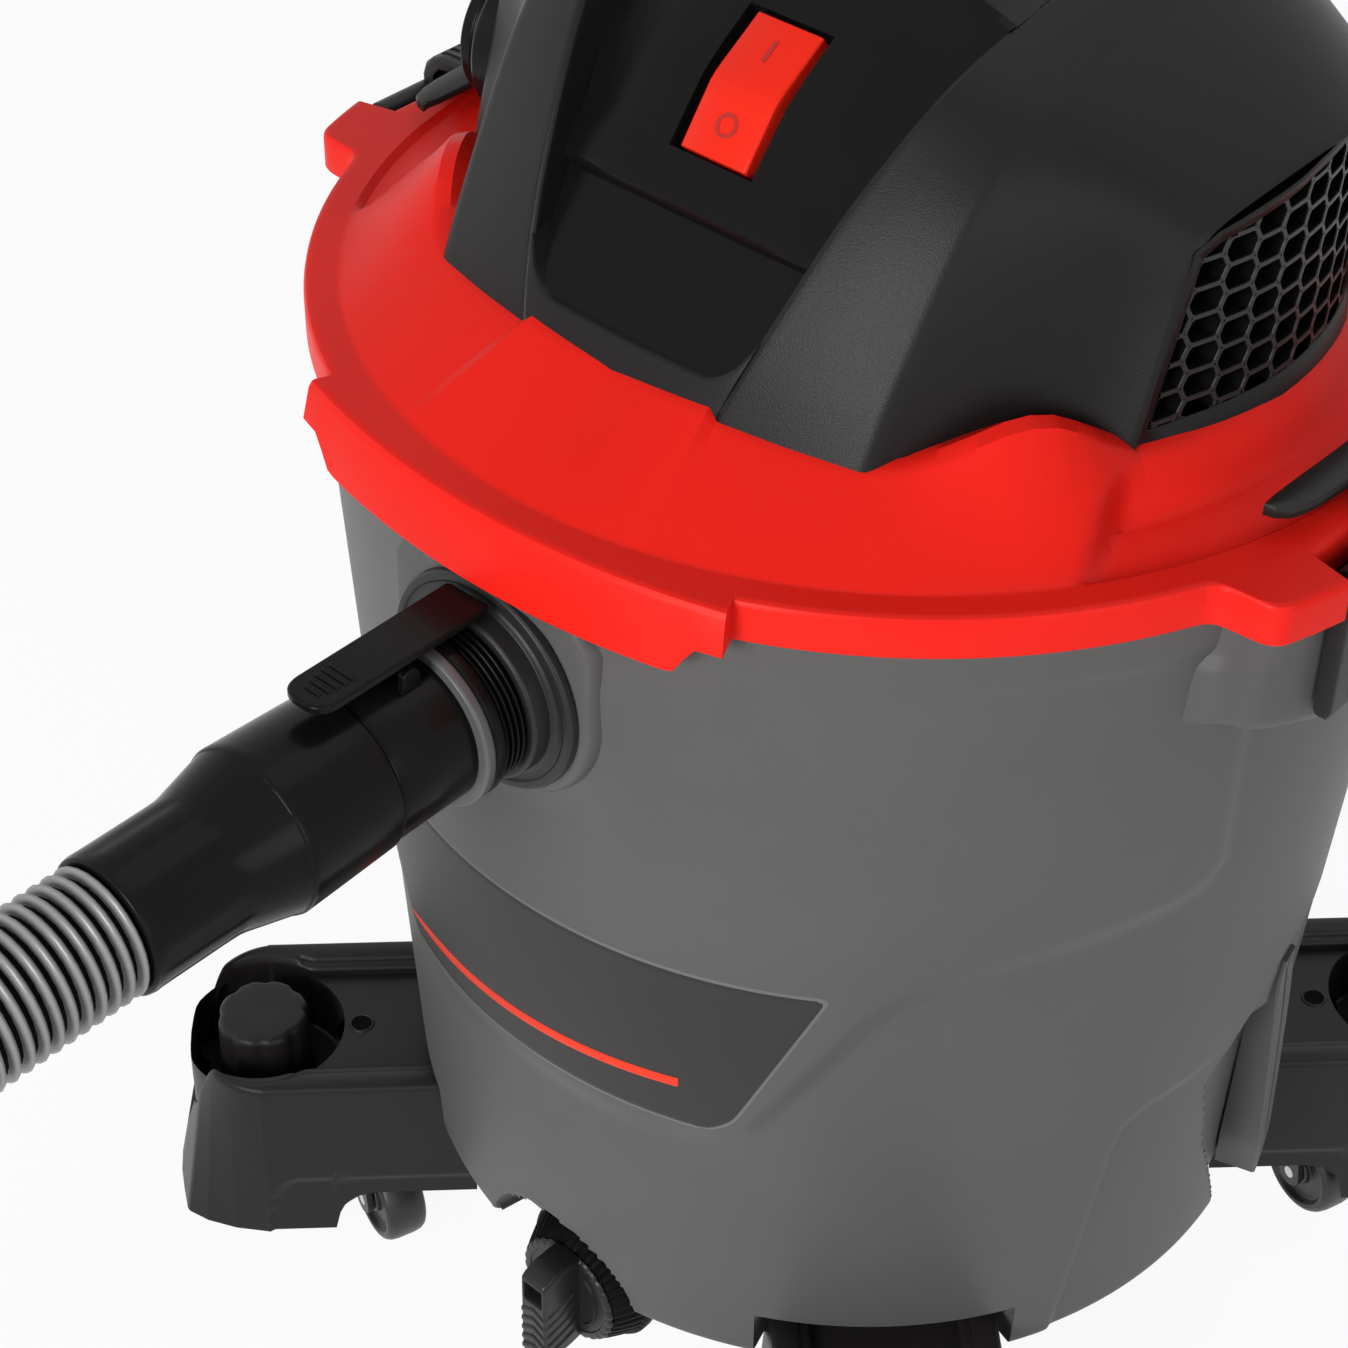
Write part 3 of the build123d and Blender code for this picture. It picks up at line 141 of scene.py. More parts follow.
def finish(name, base, rough, grain=900.0, depth=0.12, drift=0.1, metal=0.0, coat=0.0, spec=0.5):
    """A moulded finish: slow drift of colour, fine grain in the relief and uneven gloss."""
    found = bpy.data.materials.get(name)
    if found:
        return found
    made = bpy.data.materials.new(name)
    made.use_nodes = True
    nodes, links = made.node_tree.nodes, made.node_tree.links
    shader = nodes["Principled BSDF"]
    shader.inputs["Metallic"].default_value = metal
    shader.inputs["Specular IOR Level"].default_value = spec
    shader.inputs["Coat Weight"].default_value = coat
    shader.inputs["Coat Roughness"].default_value = 0.08
    place = nodes.new("ShaderNodeTexCoord")
    slow = nodes.new("ShaderNodeTexNoise")
    slow.inputs["Scale"].default_value = 11.0
    slow.inputs["Detail"].default_value = 5.0
    shade = nodes.new("ShaderNodeValToRGB")
    shade.color_ramp.elements[0].position = 0.3
    shade.color_ramp.elements[1].position = 0.72
    for stop, share in zip(shade.color_ramp.elements, (1 - drift, 1 + drift)):
        stop.color = [min(1.0, c * share) for c in base] + [1.0]
    fine = nodes.new("ShaderNodeTexNoise")
    fine.inputs["Scale"].default_value = grain
    fine.inputs["Detail"].default_value = 3.0
    relief = nodes.new("ShaderNodeBump")
    relief.inputs["Strength"].default_value = depth
    relief.inputs["Distance"].default_value = 0.0006
    gloss = nodes.new("ShaderNodeMapRange")
    gloss.inputs["To Min"].default_value = max(0.02, rough - 0.07)
    gloss.inputs["To Max"].default_value = min(1.0, rough + 0.08)
    links.new(place.outputs["Object"], slow.inputs["Vector"])
    links.new(place.outputs["Object"], fine.inputs["Vector"])
    links.new(slow.outputs["Fac"], shade.inputs["Fac"])
    links.new(shade.outputs["Color"], shader.inputs["Base Color"])
    links.new(fine.outputs["Fac"], relief.inputs["Height"])
    links.new(relief.outputs["Normal"], shader.inputs["Normal"])
    links.new(fine.outputs["Fac"], gloss.inputs["Value"])
    links.new(gloss.outputs["Result"], shader.inputs["Roughness"])
    return made


def drum_grey():
    return finish("drum_satin_grey", colours().drum, 0.46, 1400.0, 0.1, 0.05, spec=0.2)


def cover_black():
    return finish("cover_matte_black", colours().cover, 0.4, 1500.0, 0.2, 0.08, spec=0.17)


def gloss_black():
    return finish("moulded_gloss", colours().gloss, 0.22, 500.0, 0.02, 0.1, spec=0.09)


def arm_black():
    return finish("arm_satin_black", colours().arm, 0.4, 1100.0, 0.12, 0.1, spec=0.22)


def lid_red():
    return finish("lid_satin_red", colours().lid, 0.4, 1200.0, 0.08, 0.04, spec=0.14)


def ring_grey():
    return finish("ring_grey", colours().ring, 0.34, 800.0, 0.06, 0.08, spec=0.4)


def hose_grey():
    return finish("hose_satin_grey", colours().hose, 0.3, 700.0, 0.05, 0.06)


def rocker_red():
    return finish("rocker_red", colours().switch, 0.26, 600.0, 0.03, 0.05, spec=0.16)


# Painted shade: a near-black finish for the hose's groove bottoms, the grille's cell walls and
# backing, and the caster holes, where the darkness is shade.
def painted_shade_black():
    return finish("painted_shade_black", (0.003, 0.003, 0.003), 0.7, 400.0, 0.2, 0.2, spec=0.04)


def grid(rows, columns, wrap=False, start=0):
    """Faces between rows of points."""
    faces = []
    for i in range(rows - 1):
        for j in range(columns if wrap else columns - 1):
            k = (j + 1) % columns
            faces.append((start + i * columns + j, start + i * columns + k,
                          start + (i + 1) * columns + k, start + (i + 1) * columns + j))
    return faces


def capped(rows, columns):
    """Faces of a tube of points with flat ends."""
    last = (rows - 1) * columns
    return grid(rows, columns, True) + [tuple(range(columns)),
                                        tuple(range(last + columns - 1, last - 1, -1))]


def strip_of(profile, ends, side=1):
    """A bar with a profile of X and Z between two places along Y; side -1 mirrors it."""
    return [(side * x, y, z) for y in ends for x, z in profile], capped(2, len(profile))


def join_parts(*parts):
    """One list of points and faces from several."""
    points, faces = [], []
    for some_points, some_faces in parts:
        first = len(points)
        points += [tuple(p) for p in some_points]
        faces += [tuple(first + k for k in f) for f in some_faces]
    return points, faces


def piece(name, form, skin, body, slot, nodes=(), sharp=38.0, bevel=0.0, levels=0):
    """A mesh object from millimetre points that rides on a body and stands for CAD nodes."""
    points, faces = form
    mesh = bpy.data.meshes.new(name)
    mesh.from_pydata([[c * MM for c in p] for p in points], [], faces)
    work = bmesh.new()
    work.from_mesh(mesh)
    bmesh.ops.remove_doubles(work, verts=work.verts, dist=0.02 * MM)
    bmesh.ops.dissolve_degenerate(work, edges=work.edges, dist=0.005 * MM)
    bmesh.ops.recalc_face_normals(work, faces=work.faces)
    work.to_mesh(mesh)
    work.free()
    mesh.materials.append(skin)
    mesh.polygons.foreach_set("use_smooth", [True] * len(mesh.polygons))
    obj = bpy.data.objects.new(name, mesh)
    bpy.context.scene.collection.objects.link(obj)
    if bevel:
        mod = obj.modifiers.new("rounded_edges", "BEVEL")
        mod.width = bevel * MM
        mod.segments = 3
        mod.limit_method = "ANGLE"
        mod.angle_limit = radians(28.0)
        mod.harden_normals = False
    if levels:
        mod = obj.modifiers.new("smooth_skin", "SUBSURF")
        mod.levels = mod.render_levels = levels
    if sharp:
        mesh.set_sharp_from_angle(angle=radians(sharp))
    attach(obj, body)
    if nodes:
        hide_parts(*nodes)
    return obj


def turned(profile, axis="Z", at=(0.0, 0.0, 0.0), steps=96, shape=None):
    """A turned form from (radius, along) pairs; shape may change a radius by its angle."""
    points = []
    for radius, along in profile:
        for k in range(steps):
            turn = 2 * pi * k / steps
            r = shape(radius, along, turn) if shape else radius
            one, two = r * cos(turn), r * sin(turn)
            p = {"Z": (one, two, along), "Y": (one, along, two), "X": (along, one, two)}[axis]
            points.append((p[0] + at[0], p[1] + at[1], p[2] + at[2]))
    return points, grid(len(profile), steps, True)


def eased(value, low, high):
    """0 to 1 with soft ends between two limits; takes numbers and arrays."""
    t = np.clip((value - low) / (high - low), 0.0, 1.0)
    return t * t * (3 - 2 * t)


def table(value, pairs):
    """Straight-line value from (key, value) pairs."""
    keys, values = zip(*pairs)
    return np.interp(value, keys, values)


def edges_of(shape):
    """Pairs of neighbours round a closed outline."""
    return zip(shape, shape[1:] + shape[:1])


def inside_by(outline, x, y):
    """Signed distance of points to a closed outline, positive inside."""
    near = np.full(x.shape, 1e9)
    within = np.zeros(x.shape, bool)
    for (ax, ay), (bx, by) in edges_of(outline):
        dx, dy = bx - ax, by - ay
        t = np.clip(((x - ax) * dx + (y - ay) * dy) / (dx * dx + dy * dy + 1e-9), 0, 1)
        near = np.minimum(near, np.hypot(x - ax - t * dx, y - ay - t * dy))
        cross = (ay > y) != (by > y)
        at = (bx - ax) * (y - ay) / (by - ay + 1e-12) + ax
        within ^= cross & (x < at)
    return np.where(within, near, -near)


def rounded(points, round_by, steps=6):
    """A closed outline of flat points with its corners rounded."""
    made = []
    n = len(points)
    for k in range(n):
        a, b, c = (Vector(points[(k + d) % n]) for d in (-1, 0, 1))
        one, two = a - b, c - b
        reach = min(round_by[k] if isinstance(round_by, (list, tuple)) else round_by,
                    0.45 * one.length, 0.45 * two.length)
        if reach <= 0.01:
            made.append(tuple(b))
            continue
        p, q = b + one.normalized() * reach, b + two.normalized() * reach
        for s in range(steps + 1):
            t = s / steps
            made.append(tuple(p * (1 - t) ** 2 + b * 2 * t * (1 - t) + q * t * t))
    return made


class VAC_OT_stage(Operator):
    """Camera, floor and soft studio light"""
    bl_idname = "shopvac.stage"
    bl_label = "Stage"

    def seen(self, nodes, links):
        """1 for camera, mirror and see-through rays, which meet a plain white surround."""
        path = nodes.new("ShaderNodeLightPath")
        found = path.outputs["Is Camera Ray"]
        for kind in ("Is Glossy Ray", "Is Transmission Ray"):
            either = nodes.new("ShaderNodeMath")
            either.operation = "MAXIMUM"
            links.new(found, either.inputs[0])
            links.new(path.outputs[kind], either.inputs[1])
            found = either.outputs[0]
        return found

    def execute(self, context):
        held = context.scene.vac_stage
        a, e, r = held.azimuth, held.elevation, held.roll
        back = Vector((sin(a) * cos(e), -cos(a) * cos(e), sin(e)))
        right = Vector((cos(a), sin(a), 0))
        up = back.cross(right)
        side = right * cos(r) + up * sin(r)
        top = up * cos(r) - right * sin(r)
        lens = bpy.data.cameras.new("camera")
        lens.sensor_width = 36.0
        lens.lens = held.lens
        lens.shift_x = 0.00669
        lens.shift_y = -0.07206
        camera = bpy.data.objects.new("camera", lens)
        turn = Matrix((side, top, back)).transposed().to_4x4()
        camera.matrix_world = Matrix.Translation(held.camera_at) @ turn
        context.scene.collection.objects.link(camera)
        context.scene.camera = camera

        floor = bpy.data.meshes.new("floor")
        n, reach = 24, 9.0
        points = [((i / n - 0.5) * reach, (j / n - 0.5) * reach, -0.0006) for j in range(n + 1)
                  for i in range(n + 1)]
        floor.from_pydata(points, [], grid(n + 1, n + 1))
        paint = bpy.data.materials.new("floor_white")
        paint.use_nodes = True
        nodes, links = paint.node_tree.nodes, paint.node_tree.links
        shader = nodes["Principled BSDF"]
        shader.inputs["Base Color"].default_value = (*held.floor, 1)
        shader.inputs["Roughness"].default_value = 0.9
        shader.inputs["Specular IOR Level"].default_value = 0.1
        glow = nodes.new("ShaderNodeEmission")
        glow.inputs["Strength"].default_value = 1.0
        share = nodes.new("ShaderNodeMath")
        share.operation = "MULTIPLY"
        share.inputs[1].default_value = 0.93
        mixed = nodes.new("ShaderNodeMixShader")
        links.new(self.seen(nodes, links), share.inputs[0])
        links.new(share.outputs[0], mixed.inputs["Fac"])
        links.new(shader.outputs[0], mixed.inputs[1])
        links.new(glow.outputs[0], mixed.inputs[2])
        links.new(mixed.outputs[0], nodes["Material Output"].inputs["Surface"])
        floor.materials.append(paint)
        ground = bpy.data.objects.new("floor", floor)
        context.scene.collection.objects.link(ground)

        for name, at, size, power in (("key_light", (0.35, -2.45, 1.3), 1.0, held.key),
                                      ("right_light", (2.4, -0.7, 1.2), 1.2, held.fill),
                                      ("left_light", (-2.2, -1.2, 1.0), 1.0, 0.25 * held.fill),
                                      ("top_light", (0.1, 0.8, 2.8), 1.4, 0.4 * held.fill)):
            lamp = bpy.data.lights.new(name, "AREA")
            lamp.size = size
            lamp.energy = power
            obj = bpy.data.objects.new(name, lamp)
            obj.location = at
            aim = Vector((0, -0.05, 0.4)) - Vector(at)
            obj.rotation_euler = aim.to_track_quat("-Z", "Y").to_euler()
            context.scene.collection.objects.link(obj)

        world = bpy.data.worlds.new("studio")
        world.use_nodes = True
        context.scene.world = world
        nodes, links = world.node_tree.nodes, world.node_tree.links
        dim = nodes["Background"]
        dim.inputs["Color"].default_value = (1, 1, 1, 1)
        dim.inputs["Strength"].default_value = 0.25
        white = nodes.new("ShaderNodeBackground")
        white.inputs["Color"].default_value = (1, 1, 1, 1)
        mixed = nodes.new("ShaderNodeMixShader")
        links.new(self.seen(nodes, links), mixed.inputs["Fac"])
        links.new(dim.outputs[0], mixed.inputs[1])
        links.new(white.outputs[0], mixed.inputs[2])
        links.new(mixed.outputs[0], nodes["World Output"].inputs["Surface"])
        context.scene.view_settings.view_transform = "Standard"
        return {"FINISHED"}


HOSE_ROUTE = [
    (0, -405, 463), (0, -505, 463), (-20, -598, 429.5), (-56.5, -668.5, 368),
    (-104, -706, 287.5), (-155.5, -704, 201), (-203.5, -741.5, 121), (-240, -812, 59),
    (-260, -905, 25.5),
]
LOOP_MID = (-25.0, -974.0)
LOOP_R = 235.0


def hose_spline():
    """Points along the hose, read from the NURBS spline of its route."""
    corner = LOOP_R / cos(radians(15))
    route = list(HOSE_ROUTE)
    for k in range(8):
        turn = radians(195 + 30 * k)
        route.append((LOOP_MID[0] + corner * cos(turn), LOOP_MID[1] + corner * sin(turn),
                      25.5 + 2.0 * (k + 1) / 8))
    turn = radians(420)
    end = (LOOP_MID[0] + LOOP_R * cos(turn) - 70 * sin(turn), LOOP_MID[1] + LOOP_R * sin(turn)
           + 70 * cos(turn), 27.5)
    route.append(end)
    data = bpy.data.curves.new("hose_route", "CURVE")
    data.dimensions = "3D"
    data.resolution_u = 40
    line = data.splines.new("NURBS")
    line.points.add(len(route) - 1)
    for point, p in zip(line.points, route):
        point.co = (*(c * MM for c in p), 1.0)
    line.order_u = 3
    line.use_endpoint_u = True
    holder = bpy.data.objects.new("hose_route", data)
    bpy.context.scene.collection.objects.link(holder)
    mesh = bpy.data.meshes.new_from_object(holder)
    path = [v.co.copy() for v in mesh.vertices]
    bpy.data.meshes.remove(mesh)
    bpy.data.objects.remove(holder)
    return path, Vector((-sin(turn), cos(turn), 0))


def tube_along(path, stations, sides=36):
    """Rings of a tube along points; stations are (distance, radius) pairs in metres."""
    gone = [0.0]
    for a, b in zip(path, path[1:]):
        gone.append(gone[-1] + (b - a).length)
    flat = np.array([tuple(p) for p in path])
    gone = np.array(gone)
    at = np.array([s for s, _ in stations])
    spots = np.stack([np.interp(at, gone, flat[:, k]) for k in range(3)], 1)
    ahead = np.stack([np.interp(at + 0.002, gone, flat[:, k]) for k in range(3)], 1)
    behind = np.stack([np.interp(at - 0.002, gone, flat[:, k]) for k in range(3)], 1)
    points = []
    across = Vector((1, 0, 0))
    for spot, one, two, (_, radius) in zip(spots, ahead, behind, stations):
        along = Vector(one - two).normalized()
        across = (across - along * across.dot(along)).normalized()
        up = along.cross(across)
        for k in range(sides):
            turn = 2 * pi * k / sides
            p = Vector(spot) + (across * cos(turn) + up * sin(turn)) * radius
            points.append(tuple(p / MM))
    return points, grid(len(stations), sides, True)


class VAC_OT_hose(Operator):
    """Ribbed hose along its route, with the cuff on its far end"""
    bl_idname = "shopvac.hose"
    bl_label = "Hose"

    def execute(self, context):
        path, heading = hose_spline()
        whole = sum((b - a).length for a, b in zip(path, path[1:]))
        held = context.scene.vac_sizes
        top, pitch = held.hose_radius, held.rib_pitch
        ribs = int(whole / pitch)
        shape = ((0.0, 0.0042), (0.07, 0.0040), (0.13, 0.0026), (0.2, 0.0013), (0.3, 0.0004),
                 (0.42, 0.0), (0.54, 0.0004), (0.64, 0.0013), (0.71, 0.0026), (0.77, 0.0040),
                 (0.84, 0.0042))
        stations = [((k + share) * whole / ribs, top - drop) for k in range(ribs)
                    for share, drop in shape]
        skin = hose_grey()
        hose = piece("hose_ribbed", tube_along(path, stations, 30), skin, "hose", "hose_grey",
                     ("hose_run", "hose_coil"), sharp=None)
        # Painted shade: a near-black tube just under the rib crests shows as the dark bottoms of
        # the grooves between the ribs.
        groove_shade_tube = [(whole * k / 640, top - 0.0034) for k in range(641)]
        groove_shade_tube = piece("hose_groove_shade", tube_along(path, groove_shade_tube, 24), painted_shade_black(), "hose", "hose_grey",
                    ("hose_run", "hose_coil"), sharp=None)

        end = path[-1] / MM
        profile = [(20.6, -14), (26.2, -14), (26.9, -12), (27, 0), (27, 26), (26.2, 28), (26.2, 32),
                   (27, 34), (27, 117), (26.4, 119.4), (25.2, 120), (22.6, 120), (22, 119), (22, 0),
                   (20.6, -14)]
        cuff, faces = turned(profile, "Y", steps=72)
        side = heading.cross(Vector((0, 0, 1)))
        cuff = [tuple(end + side * x + heading * y + Vector((0, 0, z))) for x, y, z in cuff]
        far = piece("hose_end_cuff_skin", (cuff, faces), gloss_black(), "hose", "gloss_black",
                    ("hose_end_cuff",), bevel=0.5)
        return {"FINISHED"}


class VAC_OT_hose_fittings(Operator):
    """Connector, grey ring, lock tab and stepped cuff at the inlet"""
    bl_idname = "shopvac.hose_fittings"
    bl_label = "Hose fittings"

    def execute(self, context):
        at = INLET_AT
        threads = [(25, -212), (29, -212), (29, -240), (31.2, -240.2)]
        for k in range(4):
            y = -241.2 - 2.7 * k
            threads += [(31.4, y), (33.3, y - 0.5), (33.6, y - 0.95), (33.3, y - 1.4),
                        (31.4, y - 1.9)]
        threads += [(31.4, -251.6), (34.1, -251.6), (34.7, -252.6), (34.7, -256.2), (34.0, -257.2),
                    (25, -257.2), (25, -212)]
        piece("connector_thread", turned(threads, "Y", at), gloss_black(), *ON_CONNECTOR, bevel=0.2)
        ring = [(30, -257.3), (34.3, -257.3), (34.8, -258), (34.8, -261), (34.1, -262), (30, -262),
                (30, -257.3)]
        piece("connector_ring", turned(ring, "Y", at), ring_grey(), *ON_CONNECTOR, bevel=0.3)
        body = [(25, -252), (30.2, -252), (30.4, -275), (30.6, -297), (30.1, -298), (25, -298),
                (25, -252)]
        piece("connector_body", turned(body, "Y", at), gloss_black(), *ON_CONNECTOR, bevel=0.3)
        ears = []
        for side in (1, -1):
            flat = rounded([(-279, 488), (-269, 488), (-270.5, 500.5), (-277.5, 500.5)],
                           [0, 0, 4, 4])
            near, far = side * 8.0, side * 11.0
            n = len(flat)
            pts = [(near, y, z) for y, z in flat] + [(far, y, z) for y, z in flat]
            ears.append((pts, capped(2, n)))
        piece("connector_ears", join_parts(*ears), gloss_black(), *ON_CONNECTOR, bevel=0.4)

        def flats(radius, along, turn):
            """The small cuff has grip flats behind the cone."""
            if not -401 < along < -366:
                return radius
            return radius - 0.55 * (0.5 + 0.5 * cos(10 * turn)) ** 3
        cuff = [(25, -298.2), (31, -298.2), (31.6, -299), (32.1, -312), (33, -338), (33.1, -340.4),
                (32.7, -341.6), (32.2, -342), (27.4, -361.5), (26.8, -364.6), (26.8, -367),
                (26.7, -370), (26.6, -398), (26.6, -402), (26.2, -404.4), (25.4, -405),
                (20.5, -405), (20.5, -372), (25, -352), (25, -298.2)]
        piece("cuff_skin", turned(cuff, "Y", at, 120, flats), gloss_black(), "hose", "gloss_black",
              ("hose_cuff",), bevel=0.4)

        outline = rounded([(-10.5, -235), (10.5, -235), (10.5, -316), (-10.5, -316)], [2, 2, 9, 9],
                          10)
        rows = [(0.93, 502.6), (1.0, 503.2), (1.0, 505.7), (0.94, 506.4)]
        mid = -275.5
        points = []
        for share, z in rows:
            inset = (1 - share) * 10.5
            for x, y in outline:
                points.append((x - copysign(min(abs(x), inset), x), y - copysign(inset, y - mid),
                               z))
        n = len(outline)
        plate = (points, capped(4, n))
        ribs = []
        for k in range(5):
            y = -296 - 3.4 * k
            half = 6.8 - 0.25 * k * k * 0.6
            ridge = [(-half, 506.2), (-half + 0.8, 507.1), (half - 0.8, 507.1), (half, 506.2)]
            ribs.append(strip_of(ridge, (y - 0.7, y + 0.7)))
        stem = turned([(0, -7.4), (1.4, -7.4), (1.4, 7.4), (0, 7.4)], "X", (0, -274, 497), 24)
        foot = ([(x, y, z) for z in (496.5, 503) for x, y in ((-7, -276.5), (7, -276.5),
                (7, -271.5), (-7, -271.5))], capped(2, 4))
        piece("lock_tab_skin", join_parts(plate, foot, stem, *ribs), gloss_black(), "lock_tab",
              "black_plastic", ("hose_lock_tab",), bevel=0.35)
        return {"FINISHED"}


SHIELD_EDGE = [(0, 247), (13, 245), (19, 246.5), (23.5, 250), (27.3, 259.5), (32.5, 291),
               (38.3, 325), (41.7, 341.7), (48.4, 356), (57.7, 365.5), (66, 369.5), (72, 372),
               (75.6, 376), (76.8, 385), (75.7, 449), (75, 560)]
SIDE_RECESS = [(66, 90), (68.5, 160), (70.6, 225), (72, 238), (75.5, 244.5), (87.7, 247.5),
               (94, 258), (98, 276), (112, 280), (116, 262), (118, 90)]
SIDE_POCKET = [(86.5, 229), (94, 249), (100.4, 238), (106.6, 136), (109, 112), (109, 90),
               (100.5, 90), (99, 115), (90, 180)]
SIDE_FIN = [(100, 107.5, 111.2), (112, 106.5, 110.5), (136, 104.2, 108.8), (200, 101.4, 106.2),
            (246, 99.5, 104.6), (264, 100.4, 103.6)]
DRAIN_ARCH = [(165, 39), (178, 39.5), (199, 46), (230, 56)]


def cone(z):
    """Outside radius of the plain cone."""
    s = sizes()
    return s["drum_base"] + (z - s["drum_low"]) * (s["drum_top"] - s["drum_base"]) / (s["drum_high"]
            - s["drum_low"])


def drum_face(turn, z):
    """Outside radius of the drum by degrees from the front and height."""
    s = sizes()
    turn, z = np.asarray(turn, float), np.asarray(z, float)
    r = cone(z)
    low = np.clip(s["drum_low"] + 3.0 - z, 0, 3.0)
    r = r - (3.0 - np.sqrt(9.0 - low * low))
    arc = 212.0 * pi / 180
    around = np.abs(turn) * arc
    outline = [(-a * arc, h) for a, h in SHIELD_EDGE[:0:-1]] + [(a * arc, h)
            for a, h in SHIELD_EDGE]
    inside = inside_by(outline, around, z)
    r = r + s["shield"] * eased(inside, -8.0, 5.0)
    recess = inside_by([(a * arc, h) for a, h in SIDE_RECESS], around, z)
    r = r - 2.2 * eased(recess, -1.0, 3.5)
    r = r + 1.4 * eased(z, 502.0, 508.0)
    pocket = inside_by([(a * arc, h) for a, h in SIDE_POCKET], around, z)
    r = r - 9.0 * eased(pocket, -0.6, 2.4)
    for arm in (45.0, 135.0):
        across = np.abs(200.0 * np.sin(np.radians(np.abs(turn) - arm)))
        r = r - 14.0 * eased(54.5 - across, -1.5, 1.5) * (1 - eased(z, 129.5, 132.8))
    gap = np.hypot(np.radians(turn) * 219, z - INLET_Z) - 51.0
    r = r + 3.6 * np.exp(-np.clip(gap, 0, None) / 5.0) * (np.abs(turn) < 40)
    return r


def on_drum(turn, z, lift=0.0):
    """Points on the drum's face."""
    r = drum_face(turn, z) + lift
    a = np.radians(turn)
    return np.stack([r * np.sin(a), -r * np.cos(a), np.asarray(z, float)], -1)


def film(edges, lift, rows, columns):
    """A thin film on the drum: edges(v) gives its left and right end and its height."""
    points = []
    for i in range(rows + 1):
        left, right, low = edges(i / rows)
        turn = np.linspace(left, right, columns + 1)
        z = low(turn)
        edge = np.ones(columns + 1)
        edge[[0, -1]] = 0
        if i in (0, rows):
            edge[:] = 0
        base, raised = on_drum(turn, z, 0.0), on_drum(turn, z, 1.0)
        points += [tuple(p) for p in base + (raised - base) * (lift * edge + 0.03)[:, None]]
    return points, grid(rows + 1, columns + 1)


